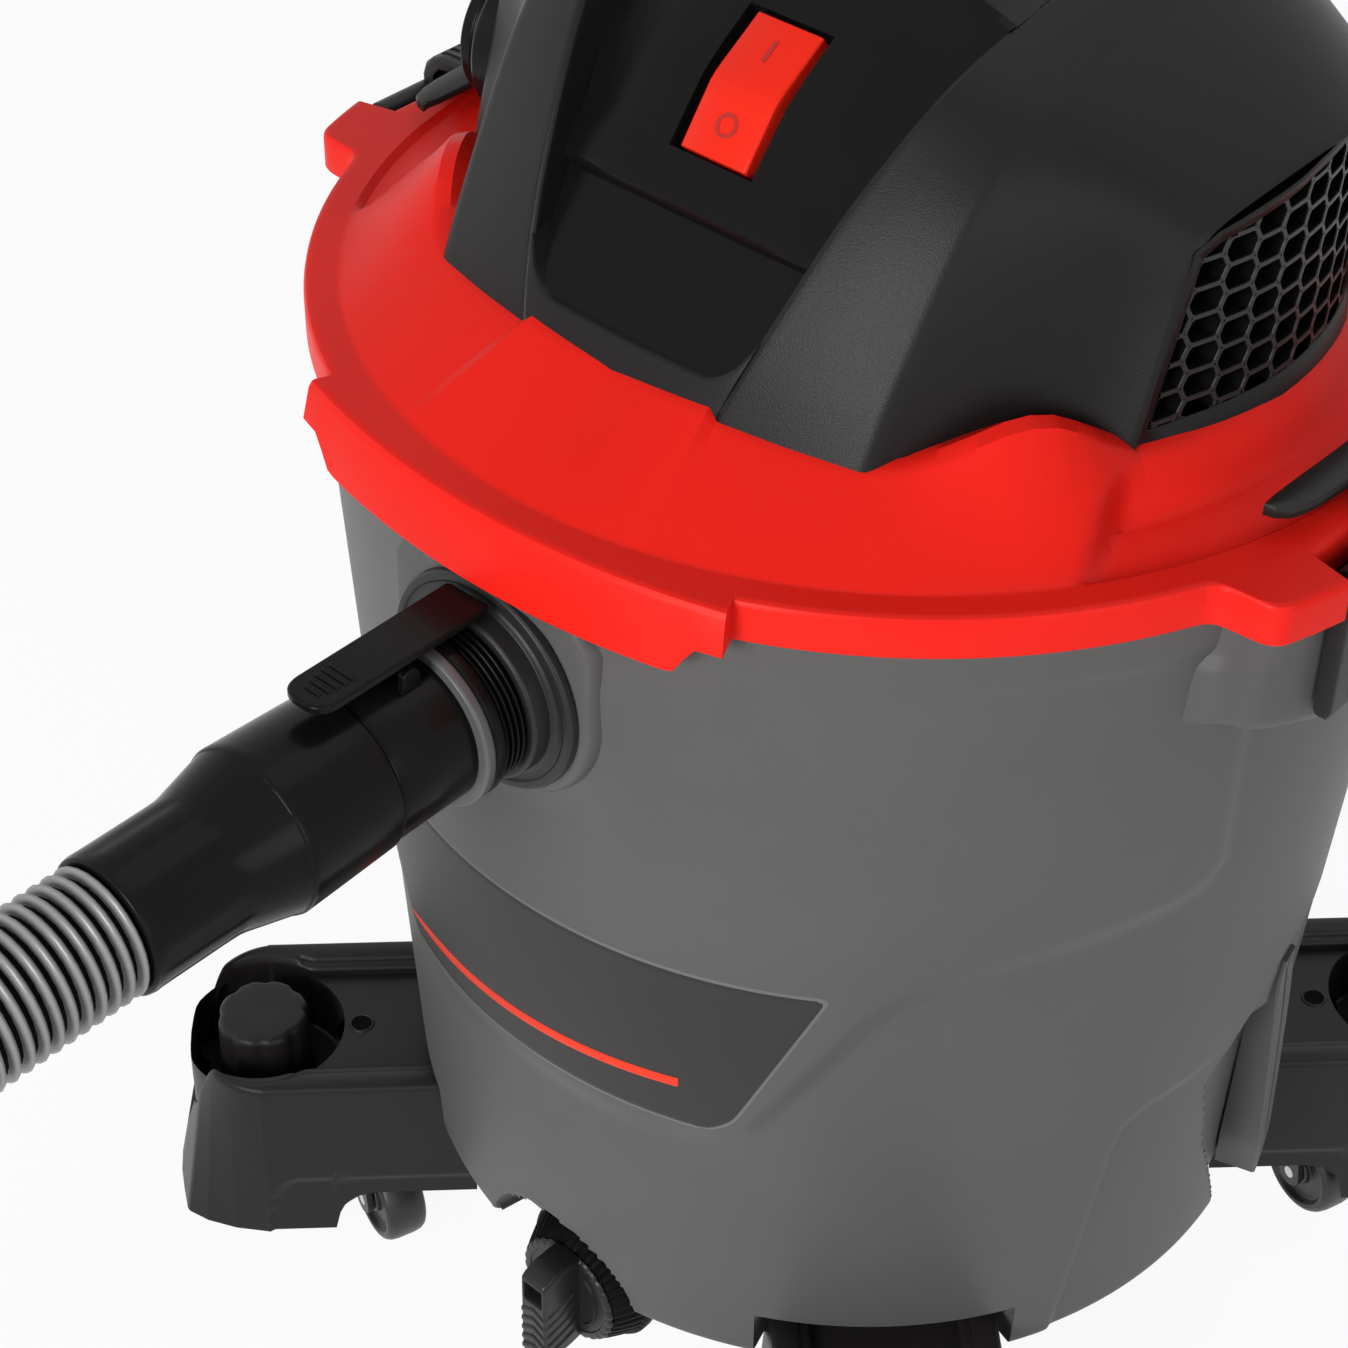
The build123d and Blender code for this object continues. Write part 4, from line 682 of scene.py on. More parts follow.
class VAC_OT_drum(Operator):
    """Tapered drum with its raised front panel, inlet pad, latch bosses and drain arch"""
    bl_idname = "shopvac.drum"
    bl_label = "Drum"

    def execute(self, context):
        s = sizes()
        columns = 540
        turn = np.linspace(-180, 180, columns, endpoint=False)
        heights = np.concatenate([s["drum_low"] + np.array([0.0, 0.2, 0.7, 1.5, 3.0, 5.2, 7.8]),
                                  np.arange(120.0, 523.0, 2.9), [526.0, s["drum_high"]]])
        rows = [on_drum(turn, np.full(columns, z)) for z in heights]
        a = np.radians(turn)

        def level(radius, z):
            return np.stack([radius * np.sin(a), -radius * np.cos(a), np.full(columns, z)], -1)

        def within(radius, z):
            return level(np.minimum(radius, drum_face(turn, np.full(columns, z)) - 4.0), z)
        under = [level(r, s["drum_low"]) for r in (0.0, 60.0, 120.0, 165.0, 176.0)]
        inner = [level(s["drum_top"] - 1.0, s["drum_high"])]
        inner += [within(cone(z) - 4.0, z) for z in np.linspace(s["drum_high"], 138.0, 12)]
        inner += [within(r, z) for r, z in ((193.0, 134.0), (192.6, 129.0), (191.0, 121.0),
                                            (186.0, 116.5), (178.0, 115.0))]
        inner += [level(r, 115.0) for r in (160.0, 90.0, 0.0)]
        rows = under + rows + inner
        points = [tuple(p) for row in rows for p in row]
        faces = []
        for face in grid(len(rows), columns, True):
            mid = sum((Vector(points[k]) for k in face), Vector()) / 4
            if mid.y < -150 and hypot(mid.x, mid.z - INLET_Z) < 31.5:
                continue
            arch_r = table(-mid.y, DRAIN_ARCH)
            if mid.y < -164 and mid.z < 150 and hypot(mid.x, mid.z - ARCH_Z) < arch_r:
                continue
            faces.append(face)
        arch = []
        for depth, radius, lift in ((None, 3.4, 0.02), (None, 0.7, 0.3), (None, -0.4, -0.5),
                                    (188.0, 0, 0), (178.0, 0, 0), (167.0, 0, 0), (165.0, -1.6, 0),
                                    (165.0, -39.0, 0)):
            for k in range(65):
                y = -(depth or 196.0)
                for _ in range(6):
                    reach = max(0.01, float(table(-y, DRAIN_ARCH)) + radius)
                    start = asin(min(1.0, (s["drum_low"] + 0.3 - ARCH_Z) / max(reach, 11.31)))
                    t = start + (pi - 2 * start) * k / 64
                    x, z = reach * cos(t), ARCH_Z + reach * sin(t)
                    if depth:
                        break
                    y = -sqrt((float(drum_face(degrees(asin(x / 200.0)), z)) + lift) ** 2 - x * x)
                arch.append((x, y, z))
        arch = (arch, grid(8, 65))
        piece("drum_skin", join_parts((points, faces), arch), drum_grey(), *ON_DRUM)

        pad = []
        for radius, y in ((33.0, -205), (33.0, -224.8), (34.0, -226), (46.4, -226), (48.4, -225.3),
                          (49.6, -223.6), (50.1, -221), (51, -212), (54, -198)):
            for k in range(144):
                t = 2 * pi * k / 144
                reach = radius
                if sin(t) > 0 and radius > 34:
                    reach = min(radius / max(abs(cos(t)), 1e-6), (radius - 1.4) / sin(t))
                    reach = min(reach, 1.2 * radius)
                pad.append((reach * cos(t), y, INLET_Z + reach * sin(t)))
        piece("inlet_pad", (pad, grid(9, 144, True)), drum_grey(), *ON_DRUM, bevel=0.3)

        edge = [(200, 88), (204.8, 86.6), (209.6, 85.6), (214.2, 84.4), (217.8, 82), (220.4, 78.8),
                (224.2, 75.6), (227.6, 72.8), (230.4, 67), (233.4, 57), (235.4, 47), (236, 34),
                (236, 0)]
        edge = edge + [(x, -y) for x, y in edge[-2::-1]]
        foot = [(0, 452), (31, 455), (55, 463), (74, 469), (80, 473), (86, 471), (95, 470)]
        levels = [(0, 1.0, 4.5), (0.13, 1.0, 4.5), (0.3, 1.0, 4.5), (0.38, 1.0, 3.6),
                  (0.44, 1.0, 1.0), (0.5, 1.0, 0.0), (0.66, 1.0, 0.0), (0.8, 1.0, 0.0),
                  (0.88, 0.98, 0.0), (0.93, 0.88, 0.0), (0.965, 0.68, 0.0), (0.985, 0.38, 0.0),
                  (1.0, -0.1, 0.0)]
        blocks = []
        for side in (1, -1):
            pts = []
            for drop, share, step in levels:
                for x, y in edge:
                    z = 523.0 - (523.0 - table(abs(y), foot)) * drop
                    if y:
                        y -= copysign(step * float(eased(abs(y), 66.0, 84.0)), y)
                    wall = sqrt((cone(z) - 0.6) ** 2 - y * y)
                    pts.append((side * (wall + (x - wall) * share), -y, z))
            blocks.append((pts, grid(len(levels), len(edge))))
        piece("latch_bosses", join_parts(*blocks), drum_grey(), *ON_DRUM, levels=2, sharp=None)

        fins = []
        for side in (1, -1):
            pts = []
            for z in np.linspace(107.5, 263.0, 36):
                left, right = (table(z, [(f[0], f[k]) for f in SIDE_FIN]) for k in (1, 2))
                out = 8.6 * min(1.0, max(0.0, (254.0 - z) / 118.0)) ** 0.8
                r = float(cone(z))
                for turn, lift in ((left, -10.0), (left, out - 1.0), (left + 0.25, out),
                                   (0.6 * left + 0.4 * right, out),
                                   (0.58 * left + 0.42 * right, out - 1.2),
                                   (0.5 * left + 0.5 * right, out - 1.2),
                                   (0.48 * left + 0.52 * right, out), (right - 0.3, out),
                                   (right, out - 0.9), (right, -2.0)):
                    t = radians(turn)
                    pts.append((side * (r + lift) * sin(t), -(r + lift) * cos(t), z))
            fins.append((pts, grid(36, 10) + [tuple(range(10)), tuple(range(359, 349, -1))]))
        piece("drum_side_fins", join_parts(*fins), drum_grey(), *ON_DRUM, sharp=34.0)

        sump = []
        for inset, z in ((4, 60), (1, 60.8), (0, 63), (0, 112)):
            flat = rounded([(-30 + inset, -157 + inset), (30 - inset, -157 + inset),
                            (30 - inset, -105 - inset), (-30 + inset, -105 - inset)], 10, 6)
            sump += [(x, y, z) for x, y in flat]
        n = len(sump) // 4
        neck = turned([(15, -160), (15, -181), (19.4, -181), (20, -180.2), (20, -176), (19, -175.6),
                       (19, -173), (20, -172.6), (20, -156)], "Y", (0, 0, DRAIN_Z), 72)
        piece("drain_sump", join_parts((sump, grid(4, n, True) + [tuple(range(n - 1, -1, -1))]),
                                       neck), drum_grey(), *ON_DRUM, bevel=0.4)

        def band(v, grow=0.0):
            z = 254.5 - grow + v * (89.5 + 2 * grow)
            half = 24.9 + (35.6 - 24.9) * (z - 254.5) / 89.5 + grow / 3.75
            near = min(z - 254.5 + grow, 13.0)
            half -= (13.0 - sqrt(169.0 - (13.0 - near) ** 2)) / 3.75
            far = min(344.0 + grow - z, 4.0)
            half -= (4.0 - sqrt(max(0.0, 16.0 - (4.0 - far) ** 2))) / 3.75
            return -half, half, lambda t: z + 0 * t
        skin = finish("band_film", colours().label, 0.42, 1500.0, 0.05, 0.05, spec=0.2)
        piece("front_band_edge", film(lambda v: band(v, 0.7), 0.3, 48, 72),
              finish("band_edge", (0.15, 0.15, 0.15), 0.5, 900.0, 0.1, spec=0.2), *ON_DRUM,
              sharp=None)
        piece("front_band", film(band, 0.55, 48, 72), skin, *ON_DRUM, sharp=None)

        def stripe(v):
            return -25.0, 20.2, lambda t: 270.6 + 0.27 * t + 6.6 * v * eased(t, -26.0, -14.0) ** 0.5
        piece("front_stripe", film(stripe, 0.8, 6, 60),
              finish("stripe_red", (0.84, 0.045, 0.016), 0.4, 900.0, 0.04, 0.04, spec=0.15),
              *ON_DRUM, sharp=None)
        return {"FINISHED"}


class VAC_OT_inlet(Operator):
    """Port plate with its stepped ring"""
    bl_idname = "shopvac.inlet"
    bl_label = "Inlet port"

    def execute(self, context):
        at = INLET_AT
        plate = [(29.5, -205), (33, -205), (33, -226.1), (44.2, -226.1), (45, -227), (45, -229.6),
                 (44, -230.8), (41.5, -231), (40.6, -230.2), (38.6, -230.2), (37.6, -231),
                 (36, -231.4), (35.8, -238.4), (34.8, -239.5), (31, -239.5), (29.5, -238),
                 (29.5, -205)]
        piece("port_ring", turned(plate, "Y", at, 120),
              finish("port_black", (0.018, 0.018, 0.019), 0.4, 900.0, 0.1, spec=0.25), "tub",
              "port_grey", ("inlet_port",), bevel=0.35)
        return {"FINISHED"}


SLOPE_TOP = [(0, 160, 565), (14, 165.2, 566.4), (15.3, 165.9, 566.5), (16.6, 166.6, 563.0),
             (25, 171, 562), (35.3, 178.3, 561), (40, 178.4, 563.6), (44, 178.0, 568),
             (48, 177.2, 573), (51, 176.4, 576.4), (54, 175.6, 577.6), (57, 175.4, 576.4),
             (60, 175.6, 572.4), (63.5, 175.9, 566), (67.3, 176.2, 560), (76, 175, 558.5),
             (90, 174, 558), (180, 174, 557)]
TAB_EDGE = [(65.4, 230), (66.4, 230.2), (67.1, 231), (67.6, 232.6), (68.0, 235), (68.4, 238.4),
            (68.8, 242), (69.2, 245.6), (69.6, 248.4), (70.0, 250.2), (70.5, 251.4), (71.1, 252),
            (76.9, 252)]
NOTCH_X = 228.0
SCOOP_EDGE = [(168, 70.5), (176, 66.4), (184, 63), (194, 60), (204, 57.6), (211, 56.2), (215, 55.6),
              (219, 56.4)]


def rim_reach(turn):
    """Outside radius of the lid by degrees from the front: rim, flatter visor, notched tabs."""
    side = min(abs(turn), 180.0 - abs(turn))
    if side > 76.9:
        return NOTCH_X / sin(radians(side))
    if side > 65.4:
        return float(table(side, TAB_EDGE))
    if abs(turn) > 25.4:
        return sizes()["rim"]
    c = cos(radians(turn))
    return -102 * c + sqrt((102 * c) ** 2 - 102 ** 2 + 333 ** 2)


class VAC_OT_lid(Operator):
    """Red lid: rim, visor, slope, latch scoops and the notched tabs for the latches"""
    bl_idname = "shopvac.lid"
    bl_label = "Lid"

    def execute(self, context):
        s = sizes()
        top = s["flange"]
        turns = set(np.round(np.arange(-180, 180, 1.0), 3)) | {-25.4, 25.4, -25.401, 25.401, 15.3,
                -15.3, 16.6, -16.6}
        for edge in list(np.arange(65.0, 72.0, 0.2)) + [76.9, 76.901]:
            turns |= {round(float(k), 3) for k in (edge, -edge, 180 - edge, edge - 180)}
        turns = sorted(turns)
        shares = np.array([0, 0.03, 0.07, 0.12, 0.18, 0.24, 0.3, 0.36, 0.43, 0.5, 0.56, 0.62, 0.68,
                           0.73, 0.78, 0.83, 0.88, 0.92, 0.96, 1.0])
        columns = []
        for turn in turns:
            reach, side = rim_reach(turn), abs(turn)
            near = min(side, 180.0 - side)
            low = top - 17.0
            flare = 0.0
            if side <= 25.4:
                x = reach * sin(radians(side))
                low = top - 30.0 + 13.0 * float(eased(x, 83.0, 93.0))
                flare = 3.4
            high_r, high_z = table(side, [(a, r) for a, r, _ in SLOPE_TOP]), table(side,
                    [(a, z) for a, _, z in SLOPE_TOP])
            start = 216.5
            line = [(min(reach - 3.5, 226.5), low), (reach + flare - 0.7, low),
                    (reach + flare, low + 0.9), (reach + 0.15 * flare, top - 3.0),
                    (reach - 0.3, top - 1.5), (reach - 1.0, top - 0.5), (reach - 2.2, top),
                    (reach - 3.6, top), (start + 2.4, top), (start + 1.0, top)]
            for t in shares:
                r = start + (high_r - start) * t
                plain = top + (high_z - top) * t ** (1.0 + 0.35 * float(eased(side, 36, 50)))
                low_in = -2.6 * float(eased(t, 0.0, 0.07)) + 3.4 * float(eased(t, 0.1, 0.7))
                sunk = top + low_in + (high_z - top - 1.6) * float(eased(t, 0.62, 1.0))
                scoop = float(eased(near - table(r, SCOOP_EDGE), -0.3, 2.2))
                line.append((r, plain * (1 - scoop) + sunk * scoop))
            line += [(high_r - 6, high_z + 1.5), (high_r - 30, 560), (60, 556)]
            a = radians(turn)
            columns.append([(r * sin(a), -r * cos(a), z) for r, z in line])
        rows = list(zip(*columns))
        points = [p for row in rows for p in row]
        piece("lid_skin", (points, grid(len(rows), len(turns), True)), lid_red(), "lid", "lid_red",
              ("lid_collar",), sharp=32.0)

        under = [(226.5, top - 17), (226.5, top - 5.2), (222, top - 5), (219, top - 5), (219, 520),
                 (217.4, 518), (215.6, 520), (215.6, 531), (120, 545)]
        piece("lid_underside", turned(under, steps=144), lid_red(), "lid", "lid_red",
              ("lid_collar",))
        return {"FINISHED"}


class VAC_OT_latches(Operator):
    """Black latches: thumb lip in the scoop, neck through the notch, face down the boss"""
    bl_idname = "shopvac.latches"
    bl_label = "Latches"

    def execute(self, context):
        outer = [(206.6, -54.6), (211.4, -53.6), (215, -51), (217.4, -45), (219, -37), (220, -24),
                 (220.4, -12), (220.5, 0)]
        inner = [(206.6, -54.6), (205.6, -52), (205, -46), (205, -38), (205.2, -28), (205.6, -18),
                 (205.8, -8), (205.8, 0)]
        outer += [(x, -y) for x, y in outer[-2::-1]]
        inner += [(x, -y) for x, y in inner[-2::-1]]
        for side, name in ((1, "right"), (-1, "left")):
            lip = []
            for share, z in ((0.0, 549.2), (0.0, 550.6), (0.06, 551.6), (0.14, 552.0), (0.5, 552.5),
                             (0.8, 552.3), (0.94, 551.6), (1.0, 550.2), (1.0, 548.2), (0.9, 547.6),
                             (0.3, 548.0), (0.0, 549.2)):
                lip += [(side * (a[0] + (b[0] - a[0]) * share), a[1] + (b[1] - a[1]) * share, z)
                        for a, b in zip(inner, outer)]
            parts = [(lip, grid(12, len(outer)))]

            profile = [(237, 474), (237.2, 536), (235.8, 542.4), (231, 546.8), (216, 549.0),
                       (216, 551.4), (231, 551.2), (237, 549.2), (241, 545.6), (243, 540),
                       (243, 475), (241.8, 471.6), (238.6, 471.6)]
            n = len(profile)

            def bar(half, cut):
                pts = []
                for y, inset in ((-half, 1.4), (-half + 0.8, 0.4), (-half + 2, 0), (half - 2, 0),
                                 (half - 0.8, 0.4), (half, 1.4)):
                    for x, z in profile:
                        if cut and z > 534:
                            z = 534.0 + (1.4 if 237.6 < x < 242.6 else 0.0)
                            x = min(max(x, 237.2), 243.0)
                        elif not cut and z < 530:
                            x, z = min(max(x, 237.8), 242.2), 528.0
                        dx, dz = x - 236, z - 520
                        pts.append((side * (x - copysign(min(abs(dx), inset), dx)), y,
                                    z - copysign(min(abs(dz), inset), dz)))
                return pts, capped(6, n)
            parts += [bar(21.0, False), bar(50.0, True)]
            for k in range(7):
                y = -15 + 5 * k
                ridge = [(222, 551.2), (223.4, 552.3), (233, 551.8), (236, 549.8)]
                parts.append(strip_of(ridge, (y - 1.1, y + 1.1), side))
            for k in range(5):
                z = 478 + 6 * k
                ridge = [(242.6, z - 1.6), (243.4, z - 0.8), (243.4, z + 0.8), (242.6, z + 1.6)]
                parts.append(strip_of(ridge, (-38, 38), side))
            parts.append(turned([(0, -49), (6, -49), (6, 49), (0, 49)], "Y", (side * 240, 0, 531),
                                40))
            piece("latch_skin_" + name, join_parts(*parts), arm_black(), "latch_" + name,
                  "black_plastic", ("latch_" + name,), bevel=0.5)
        return {"FINISHED"}


GROOVE = [(42, -163, 553), (50.6, -151.5, 582), (58.5, -137, 608), (64.5, -121, 633),
          (72.5, -103, 656), (79.5, -84, 676.5), (80, -50, 686), (80, 0, 694), (80, 45, 698),
          (79, 92, 690), (76, 132, 650), (74, 152, 595), (73, 156, 552)]
CREASE = [(102.8, -149, 552), (103.6, -136, 581), (105, -121, 607), (105.6, -106, 634),
          (106.3, -90, 655), (107.5, -68, 669.5), (107, -40, 674), (106, 0, 680), (106, 45, 684),
          (105, 90, 678), (101, 128, 640), (98, 148, 590), (97, 152, 552)]
CHEEK = [(162, -71, 552), (162.7, -64, 575), (163, -57, 598), (163.2, -51.5, 616),
         (163.6, -47, 631), (164.6, -38, 637), (167, -18, 641), (170.5, 12, 646), (171.5, 45, 648),
         (165, 85, 640), (150, 118, 610), (140, 135, 580), (138, 138, 552)]
VALLEY = [(0.74, 12.0), (0.74, 12.0), (0.72, 10.5), (0.67, 8.0), (0.6, 4.5),
          (0.5, 1.0)] + [(0.5, 0.0)] * 7


def creased(obj, pairs, weight=0.85):
    """Keep the named edges of a smooth skin crisp."""
    mesh = obj.data
    marks = mesh.attributes.new("crease_edge", "FLOAT", "EDGE")
    for edge in mesh.edges:
        if frozenset(edge.vertices) in pairs:
            marks.data[edge.index].value = weight


def smooth_piece(name, points, faces, crisp, skin, body, slot, nodes, levels=3, weight=0.85):
    """A subdivided skin with crisp edges given as point pairs."""
    mesh = bpy.data.meshes.new(name)
    mesh.from_pydata([[c * MM for c in p] for p in points], [], faces)
    mesh.materials.append(skin)
    mesh.polygons.foreach_set("use_smooth", [True] * len(mesh.polygons))
    obj = bpy.data.objects.new(name, mesh)
    bpy.context.scene.collection.objects.link(obj)
    creased(obj, {frozenset(pair) for pair in crisp}, weight)
    mod = obj.modifiers.new("smooth_skin", "SUBSURF")
    mod.levels = mod.render_levels = levels
    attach(obj, body)
    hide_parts(*nodes)
    return obj


def flowing(points, steps):
    """A smooth line of points through the given ones."""
    spots = [Vector(p) for p in points]
    spots = [2 * spots[0] - spots[1], *spots, 2 * spots[-1] - spots[-2]]
    made = []
    for a, b, c, d in zip(spots, spots[1:], spots[2:], spots[3:]):
        for k in range(steps):
            t = k / steps
            made.append(0.5 * (2 * b + (c - a) * t + (2 * a - 5 * b + 4 * c - d) * t * t
                               + (3 * b - a - 3 * c + d) * t ** 3))
    return made + [spots[-2]]


def wing(side):
    """Columns of one side of the cover, from its inner wall to the return of its cheek."""
    columns = [[] for _ in range(8)]
    for g, c, e, (share, pull) in zip(GROOVE, CREASE, CHEEK, VALLEY):
        g, c, e = Vector(g), Vector(c), Vector(e)
        mid = c.lerp(e, share)
        inward = Vector((-0.79, 0.6, 0)) * pull
        mid += inward
        strip = g.lerp(c, 0.5) + Vector((0, -1.0, 1.2))
        near = c.lerp(mid, 0.35)
        behind = table(g.y, [(-121, 9), (-103, 16), (-84, 30), (-50, 14), (0, 9)])
        deep = g + Vector((-3, -6, -3))
        if g.y < 60:
            deep = g + Vector((-2.5, behind, -15.0 + 0.3 * (behind - 9)))
        back = e + Vector((-4.5, 1.5, -0.5))
        for column, p in zip(columns, (deep, g, strip, c, near, mid, e, back)):
            column.append((side * p.x, p.y, p.z))
    return columns


class VAC_OT_motor_cover(Operator):
    """Matte black motor cover: raised strips, creased cheeks, shoulders, roof and hand pocket"""
    bl_idname = "shopvac.motor_cover"
    bl_label = "Motor cover"

    def execute(self, context):
        for side, name in ((1, "right"), (-1, "left")):
            columns = wing(side)
            n = len(columns[0])
            points = [p for column in columns for p in column]
            faces = grid(len(columns), n)
            if side < 0:
                faces = [f[::-1] for f in faces]
            crisp = []
            for k in (1, 3, 6):
                crisp += [(k * n + j, k * n + j + 1) for j in range(n - 1)]
            smooth_piece("cover_wing_" + name, points, faces, crisp, cover_black(), *ON_COVER)

        front, shares = [], np.linspace(-1, 1, 41)
        for up, inward in ((0.0, 0.0), (0.3, 0.0), (0.6, 0.0), (0.85, 0.0), (0.95, 0.0),
                           (0.985, 0.15), (1.0, 0.7), (1.0, 2.2), (0.98, 9.0)):
            for share in shares:
                corner = max(0.0, (abs(share) - 0.72) / 0.28)
                z = 553.0 + up * (22.5 + 18.0 * (1 - sqrt(1 - corner ** 2)))
                half = table(z, [(g[2], g[0]) for g in GROOVE[:4]]) + 0.8
                lead = table(z, [(g[2], g[1]) for g in GROOVE[:4]])
                front.append((share * half, lead - 2.6 * (1 - share ** 2) + 0.5 * share ** 8
                              + inward, z))
        piece("cover_front_frame", (front, grid(9, 41)), cover_black(), *ON_COVER, sharp=50.0)

        roof = []
        ys = [(-47, 697), (-34, 700), (66, 702), (92, 696), (110, 683), (132, 652), (152, 597),
              (156, 552)]
        xs = (-81, -62, -31, 0, 31, 62, 81)
        for y, z in ys:
            for x in xs:
                edge = table(y, [(g[1], g[2]) for g in GROOVE[5:]]) - 0.8
                lift = 1 - (x / 81) ** 2
                roof.append((x * (1 - 0.09 * max(0.0, (y - 92) / 64)), y, edge + (z - edge) * lift
                             if y < 130 else edge + 2 * lift))
        faces = [f for k, f in enumerate(grid(len(ys), 7)) if not (6 <= k < 12 and 1 <= k - 6 <= 4)]
        pocket = []
        ring = rounded([(-62, -34), (62, -34), (62, 66), (-62, 66)], 14, 6)
        for z, inset in ((701, -1.0), (699, 0.0), (645, 3.0), (640, 5.5), (638, 10)):
            pocket += [(x * (1 - inset / 62), 16 + (y - 16) * (1 - inset / 50), z) for x, y in ring]
        n = len(ring)
        pocket = (pocket, grid(5, n, True) + [tuple(range(4 * n, 5 * n))])
        piece("cover_roof", join_parts((roof, faces), pocket), cover_black(), *ON_COVER, bevel=1.0)

        low = [(162, -71, 552), (169, -50, 552), (173, -20, 552), (174.5, 12, 552),
               (171.5, 45, 552), (163, 85, 552), (150, 115, 552), (141.5, 132, 552),
               (138, 138, 552)]
        low, high = flowing(low, 8), flowing(CHEEK[4:], 8)
        wall, rows = [], 33
        for share in np.linspace(0, 1, rows):
            for a, e in zip(low, high):
                p = a.lerp(e, float(share))
                wall.append((-p.x + 0.6, p.y, p.z))
        faces = []
        for face in grid(rows, len(low)):
            y, z = (sum(wall[k][axis] for k in face) / 4 for axis in (1, 2))
            if hypot(y - BLOWER_AT[1], z - BLOWER_AT[2]) > BLOWER_HOLE:
                faces.append(face)
        piece("cover_wall_left", (wall, faces), cover_black(), *ON_COVER, sharp=None)
        return {"FINISHED"}


